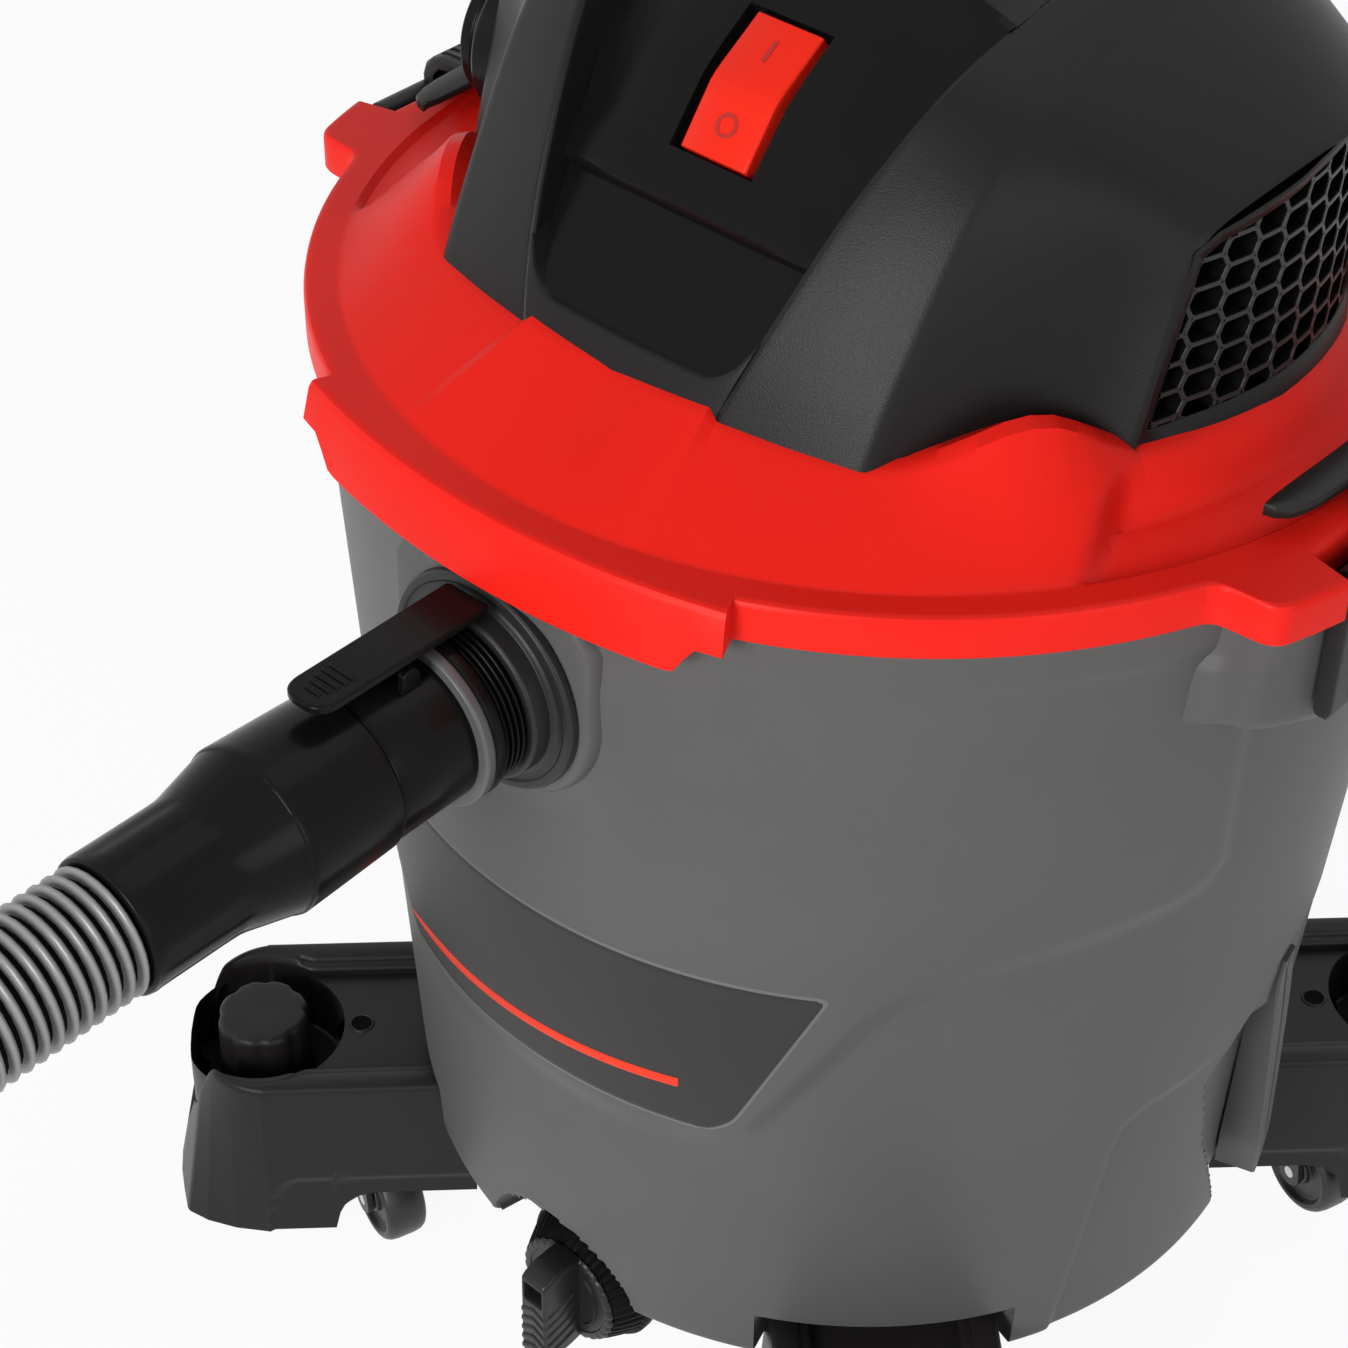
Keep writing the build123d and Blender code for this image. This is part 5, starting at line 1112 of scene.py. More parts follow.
class VAC_OT_vent_grille(Operator):
    """Honeycomb grille in the cover's right side"""
    bl_idname = "shopvac.vent_grille"
    bl_label = "Vent grille"

    def execute(self, context):
        edge = [(-70.5, 553), (-64, 575), (-57, 598), (-51.5, 616), (-47.5, 630.5), (-38, 636),
                (-18, 640), (12, 645), (45, 647), (85, 639), (104, 624), (112, 600), (114, 553)]

        def clip(shape, a, b):
            kept = []
            for p, q in edges_of(shape):
                one = (b[0] - a[0]) * (p[1] - a[1]) - (b[1] - a[1]) * (p[0] - a[0])
                two = (b[0] - a[0]) * (q[1] - a[1]) - (b[1] - a[1]) * (q[0] - a[0])
                if one <= 0:
                    kept.append(p)
                if one * two < 0:
                    t = one / (one - two)
                    kept.append((p[0] + t * (q[0] - p[0]), p[1] + t * (q[1] - p[1])))
            return kept

        def on_side(y, z, depth):
            r = 175.4 - 0.055 * (z - 558) - depth
            reach = table(y, [(-80, -2.2), (-47, -3.2), (0, 0), (60, 0.6), (114, -6)])
            return (sqrt(max(1.0, r * r - y * y)) + reach, y, z)

        def all_on_side(shape, depth):
            return [on_side(y, z, depth) for y, z in shape]

        def inset(shape, by):
            made = []
            for a, b, c in zip(shape[-1:] + shape[:-1], shape, shape[1:] + shape[:1]):
                one, two = ((Vector(q) - Vector(p)).normalized() for p, q in ((a, b), (b, c)))
                out = Vector((one.y + two.y, -one.x - two.x))
                made.append(tuple(Vector(b) + out * (by * 2 / max(0.6, out.length_squared))))
            return made

        def fine(shape, steps=18):
            return [tuple(Vector(p).lerp(Vector(q), k / steps)) for p, q in edges_of(shape)
                    for k in range(steps)]
        n = 36

        def spread(shape, mid):
            made = []
            for k in range(n):
                turn = 2 * pi * (k + 0.5) / n
                way, reach = (cos(turn), sin(turn)), 0.0
                for p, q in edges_of(shape):
                    dx, dy = q[0] - p[0], q[1] - p[1]
                    cross = way[0] * dy - way[1] * dx
                    if abs(cross) > 1e-9:
                        px, py = p[0] - mid[0], p[1] - mid[1]
                        along = (px * dy - py * dx) / cross
                        t = (px * way[1] - py * way[0]) / cross
                        if along > 0 and -1e-6 <= t <= 1 + 1e-6:
                            reach = max(reach, along)
                made.append((mid[0] + reach * way[0], mid[1] + reach * way[1]))
            return made
        hole = inset(edge, 6.0)
        hole[0], hole[-1] = (hole[0][0] + 1.5, 564.0), (hole[-1][0], 564.0)
        wide, slant, high = 16.9, 2.6, 10.9
        cells, cell_shade_walls = [], []
        for row in range(-1, 10):
            for col in range(-6, 9):
                cy, cz = 4.0 + col * (wide - slant), 560 + high * (row + 0.5 * (col % 2))
                hexagon = [(cy + u * wide / 2 - copysign(slant if v else 0.0, u), cz + v * high / 2)
                           for u, v in ((1, 0), (1, 1), (-1, 1), (-1, 0), (-1, -1), (1, -1))]
                outer, inner = hexagon[::-1], inset(hexagon[::-1], 0.85)
                for a, b in edges_of(hole):
                    outer = clip(outer, a, b) if len(outer) > 2 else outer
                    inner = clip(inner, a, b) if len(inner) > 2 else inner
                if len(outer) < 3:
                    continue
                if len(inner) < 3:
                    cells.append((all_on_side(outer, 1.0), [tuple(range(len(outer)))]))
                    continue
                mid = (sum(p[0] for p in inner) / len(inner), sum(p[1] for p in inner) / len(inner))
                a, b = spread(outer, mid), spread(inner, mid)
                pts = all_on_side(a, 1.0) + all_on_side(b, 1.0)
                worn = [(1.06 * q[0] - 0.06 * p[0], 1.06 * q[1] - 0.06 * p[1])
                        for p, q in zip(a, b)]
                pts += all_on_side(worn, 1.5)
                cells.append((pts, grid(3, n, True)))
                # Painted shade: the cell walls below the rim are drawn near-black for the shade
                # inside each cell.
                cell_shade_walls.append((pts[-n:] + all_on_side(b, 10.0), grid(2, n, True)))
        shade = finish("grille_black", (0.024, 0.024, 0.026), 0.42, 1200.0, 0.1, spec=0.3)
        piece("grille_honeycomb", join_parts(*cells), shade, *ON_GRILLE, sharp=30.0)
        piece("grille_depth_shade", join_parts(*cell_shade_walls), painted_shade_black(), *ON_GRILLE, sharp=30.0)
        border = []
        for by, depth in ((-0.5, -1.0), (0.6, -1.6), (1.4, -1.3), (5.4, 0.2), (6.0, 0.8),
                          (6.2, 3.0), (6.2, 10.0)):
            ring = inset(edge, by)
            share = max(0.0, by) / 6.0
            for k in (0, -1):
                ring[k] = (ring[k][0] + (hole[k][0] - edge[k][0]) * share * 0.2,
                           553.0 + 11.0 * min(1.0, share * 1.05))
            border += all_on_side(fine(ring), depth)
        piece("grille_border", (border, grid(7, 18 * len(edge), True)), cover_black(), "lid",
              "cover_black", ("vent_grille",), sharp=50.0)
        # Painted shade: a near-black sheet behind the cells, so the openings show shade.
        back = []
        left, right = [(z, y) for y, z in hole[:9]], [(z, y) for y, z in hole[:7:-1]]
        for z in np.linspace(562, 640, 10):
            lo, hi = float(table(z, left)) - 1.0, float(table(z, right)) + 1.0
            back += [on_side(lo + (hi - lo) * k / 23, float(z), 9.5) for k in range(24)]
        piece("grille_shade_backing", (back, grid(10, 24)), painted_shade_black(), *ON_GRILLE, sharp=None)
        rear = []
        low = [(163, 85), (150, 115), (141.5, 132), (138, 138)]
        for share in np.linspace(0, 1, 7):
            for (x, y), e in zip(low, CHEEK[9:]):
                p = Vector((x, y, 552)).lerp(Vector(e), float(share))
                rear.append(tuple(p))
        piece("cover_wall_right", (rear, grid(7, 4)), cover_black(), *ON_COVER, levels=1,
              sharp=None)
        return {"FINISHED"}


CONSOLE = [(-146, 570.0, 0), (-152.4, 574.8, 0), (-151.2, 576.2, 0), (-144.2, 583.2, 0),
           (-132.3, 595.7, 0), (-121.3, 607.1, 0), (-120.3, 608.4, 0.2), (-121.6, 610.6, 0.6),
           (-123.2, 612.7, 1.4), (-123.3, 615.0, 2.2), (-121.2, 618.1, 2.8), (-113.4, 625.8, 3.2),
           (-110.7, 628.1, 3.4), (-110.3, 628.6, 3.4), (-108, 631.4, 3.6), (-100, 641.4, 4.2),
           (-92.4, 650.4, 4.8), (-82, 658.6, 5), (-70, 666.6, 4), (-68.2, 667.8, 4),
           (-67.8, 668.1, 4), (-66.8, 668.8, 3.8), (-62, 672.5, 2), (-56, 680, 1), (-49.5, 693, 0),
           (-46, 699.5, 0)]


class VAC_OT_console(Operator):
    """Gloss black console between the strips: flat pad below, hood with the switch well above"""
    bl_idname = "shopvac.console"
    bl_label = "Console"

    def execute(self, context):
        shares = [1.0, 0.93, 0.86, 0.78, 0.7, 0.62, 0.54]
        fixed = [26.5, 24.5, 20.6, 19.4, 18.9, 18.5, 12, 6, 0]
        points = []
        for index, (y, z, hood) in enumerate(CONSOLE):
            half = table(z, [(g[2], g[0]) for g in GROOVE[:7]]) + 1.0
            half = min(half, 80.5)
            xs = [half * share for share in shares] + fixed
            xs = xs + [-x for x in xs[-2::-1]]
            for x in xs:
                fade = float(eased(abs(x), 36.0, 62.0))
                p = Vector((x, y + hood * fade, z - 0.15 * hood * fade))
                brow = float(table(y, [(g[1], g[2]) for g in GROOVE[5:]])) - 0.8
                if p.z > brow and y > -64:
                    p.z = brow + (p.z - brow) * max(0.0, 1 - (x / 81) ** 2)
                if 13 <= index <= 19 and abs(x) < 18.95:
                    p += Vector((0, 7.9, -8.0))
                points.append(tuple(p))
        width = len(points) // len(CONSOLE)
        piece("console_skin", (points, grid(len(CONSOLE), width)), gloss_black(), "lid",
              "gloss_black", ("switch_panel",), bevel=0.7, sharp=40.0)
        return {"FINISHED"}


class VAC_OT_power_switch(Operator):
    """Red rocker with its I and O marks"""
    bl_idname = "shopvac.power_switch"
    bl_label = "Power switch"

    def execute(self, context):
        face = [(-109.5, 629.1), (-104, 636.6), (-98, 644.6), (-94.4, 649.4), (-92.0, 651.6),
                (-88.6, 654.0), (-80, 659.4), (-68.8, 666.6)]
        deep = [(y + 6.2, z - 7.8) for y, z in face]
        loop = face + deep[::-1]
        n = len(loop)
        pts = []
        for x, inset in ((-15.3, 1.0), (-14.9, 0.35), (-14.2, 0.0), (14.2, 0.0), (14.9, 0.35),
                         (15.3, 1.0)):
            pts += [(x, y + inset * 0.62, z - inset * 0.78) if k < len(face) else (x, y, z)
                    for k, (y, z) in enumerate(loop)]
        body = (pts, capped(6, n))
        piece("rocker_skin", body, rocker_red(), "switch", "switch_red", ("power_switch",),
              bevel=0.8)
        marks = []

        def on_face(x, v, low, high, lift):
            a, b = Vector((0, *low)), Vector((0, *high))
            along = (b - a).normalized()
            out = Vector((0, -along.z, along.y))
            mid = (a + b) / 2
            return tuple(mid + along * v + out * lift + Vector((x, 0, 0)))
        upper = ((-90.5, 652.8), (-68.8, 666.6))
        bar = [(-0.9, -4.6), (0.9, -4.6), (0.9, 4.6), (-0.9, 4.6)]
        pts = [on_face(x, v, *upper, lift) for lift in (-0.3, 0.25) for x, v in bar]
        marks.append((pts, grid(2, 4, True) + [(4, 5, 6, 7)]))
        lower = ((-109.5, 629.1), (-94.4, 649.4))
        turns = np.linspace(0, 2 * pi, 37)[:-1]
        pts = []
        for radius, lift in ((3.2, -0.3), (3.2, 0.25), (4.7, 0.25), (4.7, -0.3)):
            pts += [on_face(radius * cos(t), radius * sin(t), *lower, lift) for t in turns]
        marks.append((pts, grid(4, 36, True)))
        piece("rocker_marks", join_parts(*marks), finish("mark_red", (0.42, 0.008, 0.004), 0.4,
                800.0, 0.04), "switch", "white_plastic", ("power_switch",))
        return {"FINISHED"}


class VAC_OT_blower_port(Operator):
    """Gloss blower outlet with its collar, and the carry handle over the hand pocket"""
    bl_idname = "shopvac.blower_port"
    bl_label = "Blower port and handle"

    def execute(self, context):
        port = [(28.9, -150), (28.9, -183.6), (29.6, -185), (31.2, -185), (32, -184), (32, -179),
                (31.2, -178.4), (31.2, -175), (32, -174.4), (36.5, -173.6), (37.5, -172),
                (37.5, -158), (32, -156), (32, -150), (28.9, -150)]
        port = join_parts(*(turned(form, "X", BLOWER_AT, 96)
                            for form in (port, [(0, -149.6), (31, -149.6)])))
        piece("blower_ring", port, gloss_black(), "lid", "black_plastic", ("blower_port",),
              bevel=0.5)
        half, sides = 61.5, 32

        def hoop(x, wide, high):
            """A squarish loop of the grip at a place across the pocket."""
            made = []
            for k in range(sides):
                c, q = cos(2 * pi * k / sides), sin(2 * pi * k / sides)
                made.append((x, 18 + wide * copysign(abs(c) ** 0.62, c),
                             high + 10.6 * copysign(abs(q) ** 0.62, q)))
            return made

        def bow(x):
            return 1.6 * (1 - (x / half) ** 2)
        bar, grip, faces = [], [], []
        for x in np.linspace(-half, half, 25):
            grow = 1 + 0.12 * (abs(x) / half) ** 6
            bar += hoop(x, grow * 14.2, 686.4 + bow(x))
        for k in range(9):
            x = -36 + 9 * k
            faces += grid(2, sides, True, len(grip))
            for dx in (-1.6, 1.6):
                grip += hoop(x + dx, 14.6, 686.8 + bow(x))
        piece("handle_grip", join_parts((bar, grid(25, sides, True)), (grip, faces)), gloss_black(),
              "lid", "gloss_black", ("carry_handle",))
        return {"FINISHED"}


ARM_ENDS = ((35.0, 320.0, 53.0, 30.0), (RIM_Z, 301.0, 48.5, 32.0))
ARM_FOOT = [(45.6, 0), (45, 12), (43, 24), (40.4, 36.6), (39.2, 38.6), (30, 44.6), (16, 49.8),
            (0, 52.8)]
WELL_AT, WELL_R, WELL_Z, DECK_Z, DECK_HALF = 274.0, 38.0, 88.0, 120.6, 32.0
SKIRT_LOW = [(0, 58), (226, 58), (234, 56), (240, 51), (243.6, 43), (244.6, 35), (400, 35)]
SKIRT_STEP = [(0, 71), (236, 70.5), (250, 67.5), (260, 61), (268, 51), (273, 41), (275, 30),
              (400, 20)]


def arm_size(z):
    """End, half width and corner radius of a caster arm at a height."""
    (low_z, *low), (high_z, *high) = ARM_ENDS
    return [a + (b - a) * (z - low_z) / (high_z - low_z) for a, b in zip(low, high)]


def arm_reach(z, turn):
    """Distance from the well's middle to the outline: cornered at the foot, round at the top."""
    end, half, corner = ARM_ENDS[1][1:]
    c, q = cos(turn), abs(sin(turn))
    reach = min((end - WELL_AT) / max(c, 1e-6), half / max(q, 1e-6))
    cx, cy = end - WELL_AT - corner, half - corner
    if reach * q > cy and reach * c > cx:
        along = c * cx + q * cy
        reach = along + sqrt(max(0.0, along * along - cx * cx - cy * cy + corner * corner))
    fine = [tuple(Vector(p).lerp(Vector(r), k / 8)) for p, r in zip(ARM_FOOT, ARM_FOOT[1:])
            for k in range(8)] + [ARM_FOOT[-1]]
    foot = table(atan2(q, c), [(atan2(y, x), hypot(x, y)) for x, y in fine])
    return float(foot + (reach - foot) * (z - ARM_ENDS[0][0]) / (ARM_ENDS[1][0] - ARM_ENDS[0][0]))


def rim_height(turn):
    """Height of the arm's rim round the well: it dips where the well opens through the end."""
    low, high = 40.0, RIM_Z
    if arm_reach(high, turn) >= WELL_R + 1.5:
        return high
    for _ in range(24):
        mid = (low + high) / 2
        low, high = (mid, high) if arm_reach(mid, turn) > WELL_R + 1.5 else (low, mid)
    return max(WELL_Z, low)


class VAC_OT_caster_arms(Operator):
    """Four caster arms with their rails, channel, open well and accessory post"""
    bl_idname = "shopvac.caster_arms"
    bl_label = "Caster arms"

    def outer(self, spot, z, inset=0.0):
        """A point on the arm's outside; a spot is a run and side, or a direction round the well."""
        kind, value, side = spot
        if kind == "run":
            half = arm_size(z)[1] - inset
            if z < 76:
                half -= 1.5 * float(eased(table(value, SKIRT_STEP) - z, 0.0, 3.0))
            start = sqrt(ARM_ROOT ** 2 - min(half, 60.0) ** 2)
            return (start + (WELL_AT - start) * value / WELL_AT if value < WELL_AT else value,
                    side * half, z)
        reach = arm_reach(z, value) - inset
        if inset < 3 and z < 88.5:
            across = abs(reach * sin(value))
            reach -= 9.0 * float(eased(15.0 * (z - 55.0) / 33.0 - across, 0.0, 3.4))
        return (WELL_AT + reach * cos(value), reach * sin(value), z)

    def inner(self, spot, grow, z):
        """A point on the rail's inner edge."""
        kind, value, side = spot
        if kind == "run":
            start = sqrt(ARM_ROOT ** 2 - 42.0 ** 2)
            x = start + (WELL_AT - start) * value / WELL_AT
            half = max(DECK_HALF, sqrt(max(0.0, WELL_R ** 2 - (WELL_AT - x) ** 2))) + grow
            return (x, side * half, z)
        reach = min(WELL_R + grow, arm_reach(z, value) - 0.4)
        return (WELL_AT + reach * cos(value), reach * sin(value), z)

    def execute(self, context):
        runs = np.linspace(0, WELL_AT, 42)
        spots = [("run", float(v), -1) for v in runs]
        spots += [("front", float(t), 0) for t in np.radians(np.linspace(-90, 90, 181)[1:-1])]
        spots += [("run", float(v), 1) for v in runs[::-1]]
        rims = [RIM_Z if kind == "run" else rim_height(value) for kind, value, _ in spots]
        rims = list(np.convolve(np.pad(rims, 6, mode="edge"), np.full(13, 1 / 13), mode="valid"))
        lows = []
        for kind, value, _ in spots:
            x = ARM_ROOT + (WELL_AT - ARM_ROOT) * value / WELL_AT if kind == "run" else 300.0
            lows.append(float(table(x, SKIRT_LOW)))
        rows = [[self.outer(spot, 118.0 if rim > 118 else rim - 3, 4.0)
                 for spot, rim in zip(spots, rims)]]
        for inset, lift in ((4.0, 0.0), (0.7, 0.0), (0.0, 0.7)):
            rows.append([self.outer(spot, low + lift, inset) for spot, low in zip(spots, lows)])
        for share in np.linspace(0.04, 1.0, 52):
            rows.append([self.outer(spot, low + (rim - 2.6 - low) * float(share))
                         for spot, low, rim in zip(spots, lows, rims)])
        for inset, drop in ((0.5, 1.2), (1.3, 0.4), (2.4, 0.0)):
            row = []
            for spot, rim in zip(spots, rims):
                x, y, z = self.outer(spot, rim - drop, 0.0)
                bx, by, _ = self.inner(spot, 0.0, rim)
                gap = hypot(x - bx, y - by)
                share = min(inset / max(gap, 1e-3), 0.5)
                row.append((x + (bx - x) * share, y + (by - y) * share, z))
            rows.append(row)
        for grow, drop in ((6.4, 0.0), (5.2, 0.9), (5.0, 2.2), (1.6, 2.4), (0.5, 3.0), (0.0, 4.4)):
            row = []
            for spot, rim in zip(spots, rims):
                last = rows[-1][len(row)]
                fade = float(eased(rim, 120.0, RIM_Z)) * (1.0 if spot[0] == "run" and spot[1] < 232
                        else 0.0)
                deep = max(WELL_Z, rim - drop * (0.35 + 0.65 * fade) if grow > 1 else rim - drop)
                x, y, _ = self.inner(spot, grow, deep)
                mx, my, _ = self.inner(spot, 0.0, deep)
                room = hypot(last[0] - mx, last[1] - my)
                if hypot(x - mx, y - my) > 0.9 * room:
                    x, y = mx + (last[0] - mx) * 0.9, my + (last[1] - my) * 0.9
                row.append((x, y, deep))
            rows.append(row)
        floor = []
        for spot, rim in zip(spots, rims):
            x, y, _ = self.inner(spot, 0.0, 100.0)
            in_well = spot[0] == "front" or x > WELL_AT - sqrt(WELL_R ** 2 - DECK_HALF ** 2) - 0.3
            floor.append(self.inner(spot, 0.0, min(rim, WELL_Z if in_well else DECK_Z)))
        rows.append(floor)
        n = len(spots)
        shell = ([p for row in rows for p in row], grid(len(rows), n))

        deck = []
        for y in np.linspace(-DECK_HALF, DECK_HALF, 15):
            far = WELL_AT - sqrt(WELL_R ** 2 - y * y)
            near = sqrt(ARM_ROOT ** 2 - y * y)
            deck += [(near + (far - near) * share, y, DECK_Z) for share in np.linspace(0, 1, 12)]
        deck = (deck, grid(15, 12))

        wall = []
        span = asin(DECK_HALF / WELL_R)
        for grow, z in ((0.9, DECK_Z), (0.3, DECK_Z - 0.3), (0.0, DECK_Z - 1.0),
                        (0.0, WELL_Z + 2.0), (-0.6, WELL_Z + 0.5), (-2.0, WELL_Z)):
            for t in np.linspace(pi - span, pi + span, 41):
                wall.append((WELL_AT + (WELL_R + grow) * cos(t), (WELL_R + grow) * sin(t), z))
        wall = (wall, grid(6, 41))

        def clipped(radius, along, turn):
            if radius > 24:
                front = cos(turn) > 0.01
                return min(radius, arm_reach(WELL_Z, atan2(sin(turn), cos(turn)))
                           - 0.2) if front else radius
            if along > 89 and 10 < radius:
                return radius - 1.3 * (abs(cos(4.0 * turn)) ** 6)
            return radius
        post = turned([(38.0, WELL_Z), (34, WELL_Z), (24, WELL_Z), (22.8, 88.6), (22.0, 91),
                       (21.5, 127.2), (20.8, 129.6), (19.6, 130.7), (18, 131), (9, 131),
                       (0, 130.8)], "Z", (WELL_AT, 0, 0), 96, clipped)
        hole = turned([(6.2, 120.5), (5.8, 121.1), (5.0, 121.2), (4.6, 120.8)], "Z",
                      (CASTER_AT, 0, 0), 40)
        # Painted shade: a near-black disc just inside the caster hole shows the shade down the
        # hole.
        hole_shade_disc = turned([(5.0, 120.95), (4.0, 120.85), (0, 120.7)], "Z", (CASTER_AT, 0, 0), 40)
        inner = turned([(40.5, 118), (40.5, 86), (39, 84), (0, 84)], "Z", (WELL_AT - 3, 0, 0), 60,
                       lambda r, z, t: min(r, arm_reach(60.0, t) - 3.0) if cos(t) > 0.01 else r)
        boss = turned([(5.1, 62), (11.4, 62), (12, 62.8), (12, 116)], "Z", (CASTER_AT, 0, 0), 40)
        points, faces = join_parts(shell, deck, wall, post, hole, inner, boss)
        for place, angle in ARMS.items():
            c, q = cos(radians(angle)), sin(radians(angle))
            turned_points = [(x * c - y * q, x * q + y * c, z) for x, y, z in points]
            spot = [(x * c - y * q, x * q + y * c, z) for x, y, z in hole_shade_disc[0]]
            piece("arm_hole_shade_" + place, (spot, hole_shade_disc[1]), painted_shade_black(), "tub", "arm_black",
                  ("caster_arm_" + place,))
            piece("arm_skin_" + place, (turned_points, faces), arm_black(), "tub", "arm_black",
                  ("caster_arm_" + place,), sharp=42.0)
        return {"FINISHED"}


class VAC_OT_drain_cap(Operator):
    """Drain cap with its scalloped face, ridged wall and chevron grip"""
    bl_idname = "shopvac.drain_cap"
    bl_label = "Drain cap"

    def execute(self, context):
        def ridges(radius, along, turn):
            if radius > 33.5 or radius < 24:
                return radius
            if along < -188.4:
                return radius - 0.7 * (0.5 + 0.5 * cos(30 * turn)) ** 2
            return radius - 1.1 * (0.5 + 0.5 * cos(44 * turn)) ** 2
        wall = [(20.4, -168), (33.6, -168), (34.6, -168.3), (35, -169), (35, -173), (34.4, -174),
                (33.4, -174.5), (31.6, -179), (29, -184.6), (27.2, -187.6), (27.0, -188.5),
                (26.5, -189.4), (25.4, -190), (22.6, -190), (22.2, -189.5), (0, -189.5)]
        # Painted shade: the ridged wall is coloured darker than the cap's face for the shadow under
        # the drain arch.
        piece("drain_cap_wall", turned(wall[:11], "Y", (0, 0, DRAIN_Z), 264, ridges),
              finish("cap_wall_painted_shade", (0.005, 0.005, 0.005), 0.5, 900.0, 0.1, spec=0.08), "drain_cap",
              "black_plastic", ("drain_cap",), sharp=34.0)
        parts = [turned(wall[9:], "Y", (0, 0, DRAIN_Z), 264, ridges)]

        def loop(half, low, high, round_by):
            return rounded([(-half, low), (half, low), (half, high), (-half, high)], round_by, 5)
        rows = [(7.4, 58.6, 113.4, 3.0, -189), (7.4, 58.0, 114.0, 3.0, -194),
                (7.4, 58.0, 113.8, 2.6, -203), (7.2, 58.8, 111.6, 2.2, -209),
                (6.9, 60.0, 110.4, 2.0, -211.0), (6.4, 60.8, 109.6, 1.8, -211.5),
                (5.6, 95.6, 107.6, 0.7, -211.5), (5.3, 95.9, 107.3, 0.7, -211.0),
                (5.2, 96.0, 107.2, 0.7, -203.0)]
        grip = []
        for half, low, high, round_by, y in rows:
            grip += [(x, y, z) for x, z in loop(half, low, high, round_by)]
        n = len(grip) // len(rows)
        parts.append((grip, grid(len(rows), n, True)
                      + [tuple(range((len(rows) - 1) * n, len(rows) * n))]))
        for k in range(5):
            z = 88.5 - 6.2 * k
            line = [(-7.5, -193, z + 3.4), (-7.5, -208.6, z), (-6.4, -211.7, z - 0.4),
                    (0, -211.8, z + 3.0), (6.4, -211.7, z - 0.4), (7.5, -208.6, z),
                    (7.5, -193, z + 3.4)]
            ridge = []
            for x, y, h in line:
                out = Vector((x * (abs(x) > 6), -8.0 * (y < -206), 0)).normalized() * 0.9
                for lift, dz in ((-0.4, -1.7), (1.6, -0.9), (1.6, 0.9), (-0.4, 1.7)):
                    ridge.append((x + out.x * lift * 0.4, max(y + out.y * lift * 0.3, -211.95),
                                  h + dz))
            parts.append((ridge, grid(7, 4, True)))
        for side in (1, -1):
            arc = []
            for reach, rise in ((15.6, 0.0), (16.0, 1.0), (17.2, 1.0), (17.6, 0.0)):
                for t in np.linspace(-62, 62, 25):
                    r = radians(t)
                    arc.append((side * (4.5 + 0.8 * reach * cos(r)), -189.4 - rise,
                                DRAIN_Z + reach * sin(r)))
            parts.append((arc, grid(4, 25)))
        points, faces = join_parts(*parts)
        piece("drain_cap_skin", (points, faces), finish("cap_black", (0.0125, 0.012, 0.0117), 0.36,
                900.0, 0.1, spec=0.3), "drain_cap", "black_plastic", ("drain_cap",), sharp=34.0)
        return {"FINISHED"}


class VAC_OT_casters(Operator):
    """Caster wheels with a tread and hub"""
    bl_idname = "shopvac.casters"
    bl_label = "Caster wheels"

    def execute(self, context):
        trail = radians(-18.6)
        ahead = Vector((cos(trail), sin(trail), 0))
        across = Vector((-sin(trail), cos(trail), 0))
        profile = [(3.1, -10.4), (7, -10.4), (8, -9.6), (8.4, -7.4), (17, -7.0), (18, -8.2),
                   (19, -10), (20.6, -10.4), (22.4, -9.4), (23.5, -7.4), (24, -4), (24, 4),
                   (23.5, 7.4), (22.4, 9.4), (20.6, 10.4), (19, 10), (18, 8.2), (17, 7.0),
                   (8.4, 7.4), (8, 9.6), (7, 10.4), (3.1, 10.4), (3.1, -10.4)]
        skin = finish("wheel_black", (0.014, 0.014, 0.015), 0.42, 700.0, 0.12)
        for place, angle in ARMS.items():
            c, q = cos(radians(angle)), sin(radians(angle))
            hub = Vector((CASTER_AT * c, CASTER_AT * q, 0)) + ahead * 20 + Vector((0, 0, 24))
            points, faces = turned(profile, "Y", steps=72)
            points = [tuple(hub + ahead * x + across * y + Vector((0, 0, z))) for x, y, z in points]
            piece("wheel_skin_" + place, (points, faces), skin, "wheel_" + place, "black_plastic",
                  ("caster_wheel_" + place,), bevel=0.4)
        return {"FINISHED"}


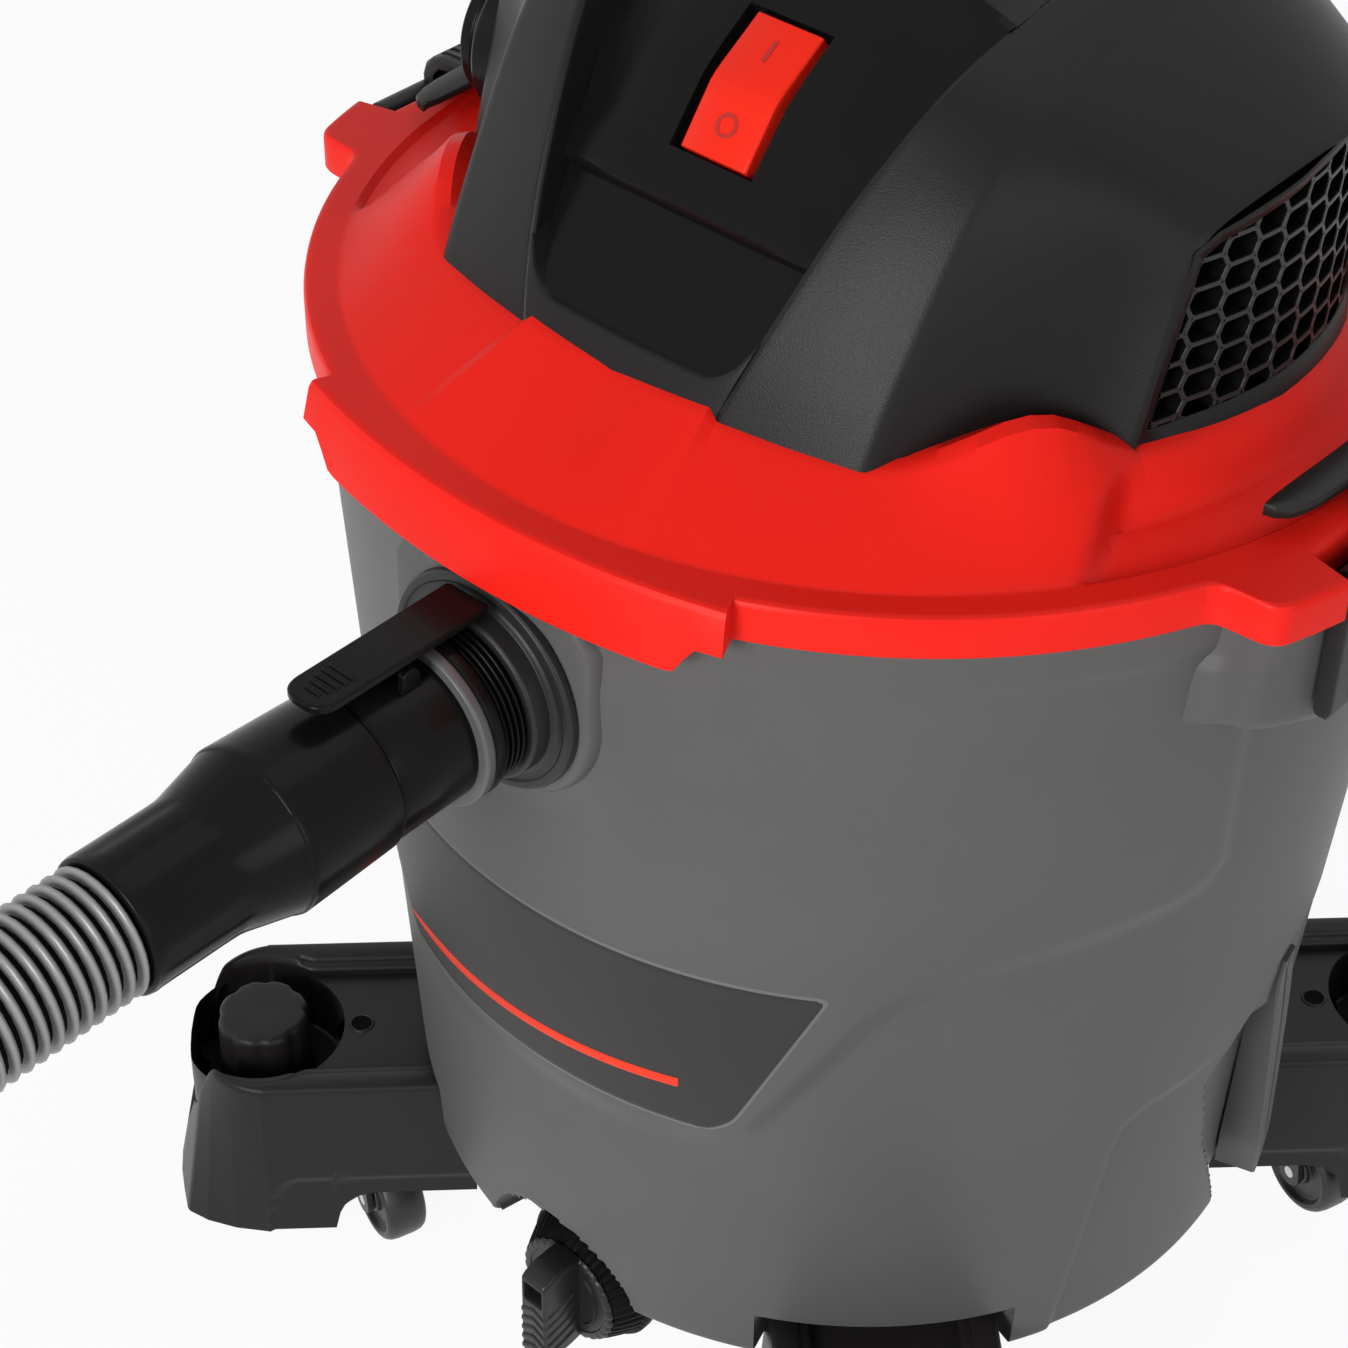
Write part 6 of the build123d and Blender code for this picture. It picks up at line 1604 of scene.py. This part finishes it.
class VAC_OT_inner_parts(Operator):
    """Finishes of the frame's own pieces that stay as they are"""
    bl_idname = "shopvac.inner_parts"
    bl_label = "Inner parts"

    def execute(self, context):
        kinds = {
            "drum_grey": drum_grey(), "port_grey": ring_grey(),
                 "black_plastic": finish("plain_black", (0.016, 0.016, 0.017), 0.42, 900.0, 0.12),
            "arm_black": arm_black(), "lid_red": lid_red(), "cover_black": cover_black(),
                 "gloss_black": gloss_black(),
            "rubber": finish("rubber_black", (0.012, 0.012, 0.012), 0.7, 600.0, 0.25, 0.15),
            "steel": finish("zinc_steel", (0.55, 0.55, 0.56), 0.3, 1600.0, 0.05, 0.08, 1.0),
            "iron": finish("lamination_iron", (0.16, 0.15, 0.15), 0.5, 500.0, 0.2, 0.15, 0.8),
            "copper": finish("lacquered_copper", (0.55, 0.22, 0.09), 0.34, 900.0, 0.2, 0.12, 0.9),
            "alloy": finish("cast_alloy", (0.6, 0.6, 0.61), 0.4, 400.0, 0.12, 0.08, 1.0),
            "switch_red": rocker_red(),
            "white_plastic": finish("float_white", (0.72, 0.71, 0.68), 0.45, 700.0, 0.08, 0.04),
            "filter_paper": finish("pleated_paper", (0.72, 0.68, 0.56), 0.85, 1300.0, 0.5, 0.06),
            "hose_grey": hose_grey(),
        }
        for row in frame["record"]["subparts"]:
            obj = frame["nodes"][row["node"]]
            for slot in obj.material_slots:
                slot.material = kinds[row["material_slot"]]
        return {"FINISHED"}


STEPS = (VAC_OT_stage, VAC_OT_hose, VAC_OT_hose_fittings, VAC_OT_drum, VAC_OT_inlet, VAC_OT_lid,
         VAC_OT_latches, VAC_OT_motor_cover, VAC_OT_vent_grille, VAC_OT_console,
         VAC_OT_power_switch, VAC_OT_blower_port, VAC_OT_caster_arms, VAC_OT_drain_cap,
         VAC_OT_casters, VAC_OT_inner_parts)
GROUPS = (("vac_finishes", FinishSettings), ("vac_sizes", SizeSettings),
          ("vac_stage", StageSettings))


class VAC_PT_panel(Panel):
    """Lists the settings and the steps"""
    bl_idname = "VAC_PT_panel"
    bl_label = "Shop Vacuum"
    bl_space_type = "VIEW_3D"
    bl_region_type = "UI"
    bl_category = "Shop Vacuum"

    def draw(self, context):
        for name, group in GROUPS:
            box = self.layout.box()
            for key in group.__annotations__:
                box.prop(getattr(context.scene, name), key)
        for step in STEPS:
            self.layout.operator(step.bl_idname)


CLASSES = tuple(group for _, group in GROUPS) + STEPS + (VAC_PT_panel,)


def register():
    for cls in CLASSES:
        bpy.utils.register_class(cls)
    for name, group in GROUPS:
        setattr(bpy.types.Scene, name, PointerProperty(type=group))


def unregister():
    for name, _ in GROUPS:
        delattr(bpy.types.Scene, name)
    for cls in reversed(CLASSES):
        bpy.utils.unregister_class(cls)


def main():
    register()
    for step in STEPS:
        family, name = step.bl_idname.split(".")
        getattr(getattr(bpy.ops, family), name)()


if __name__ == "__main__":
    main()
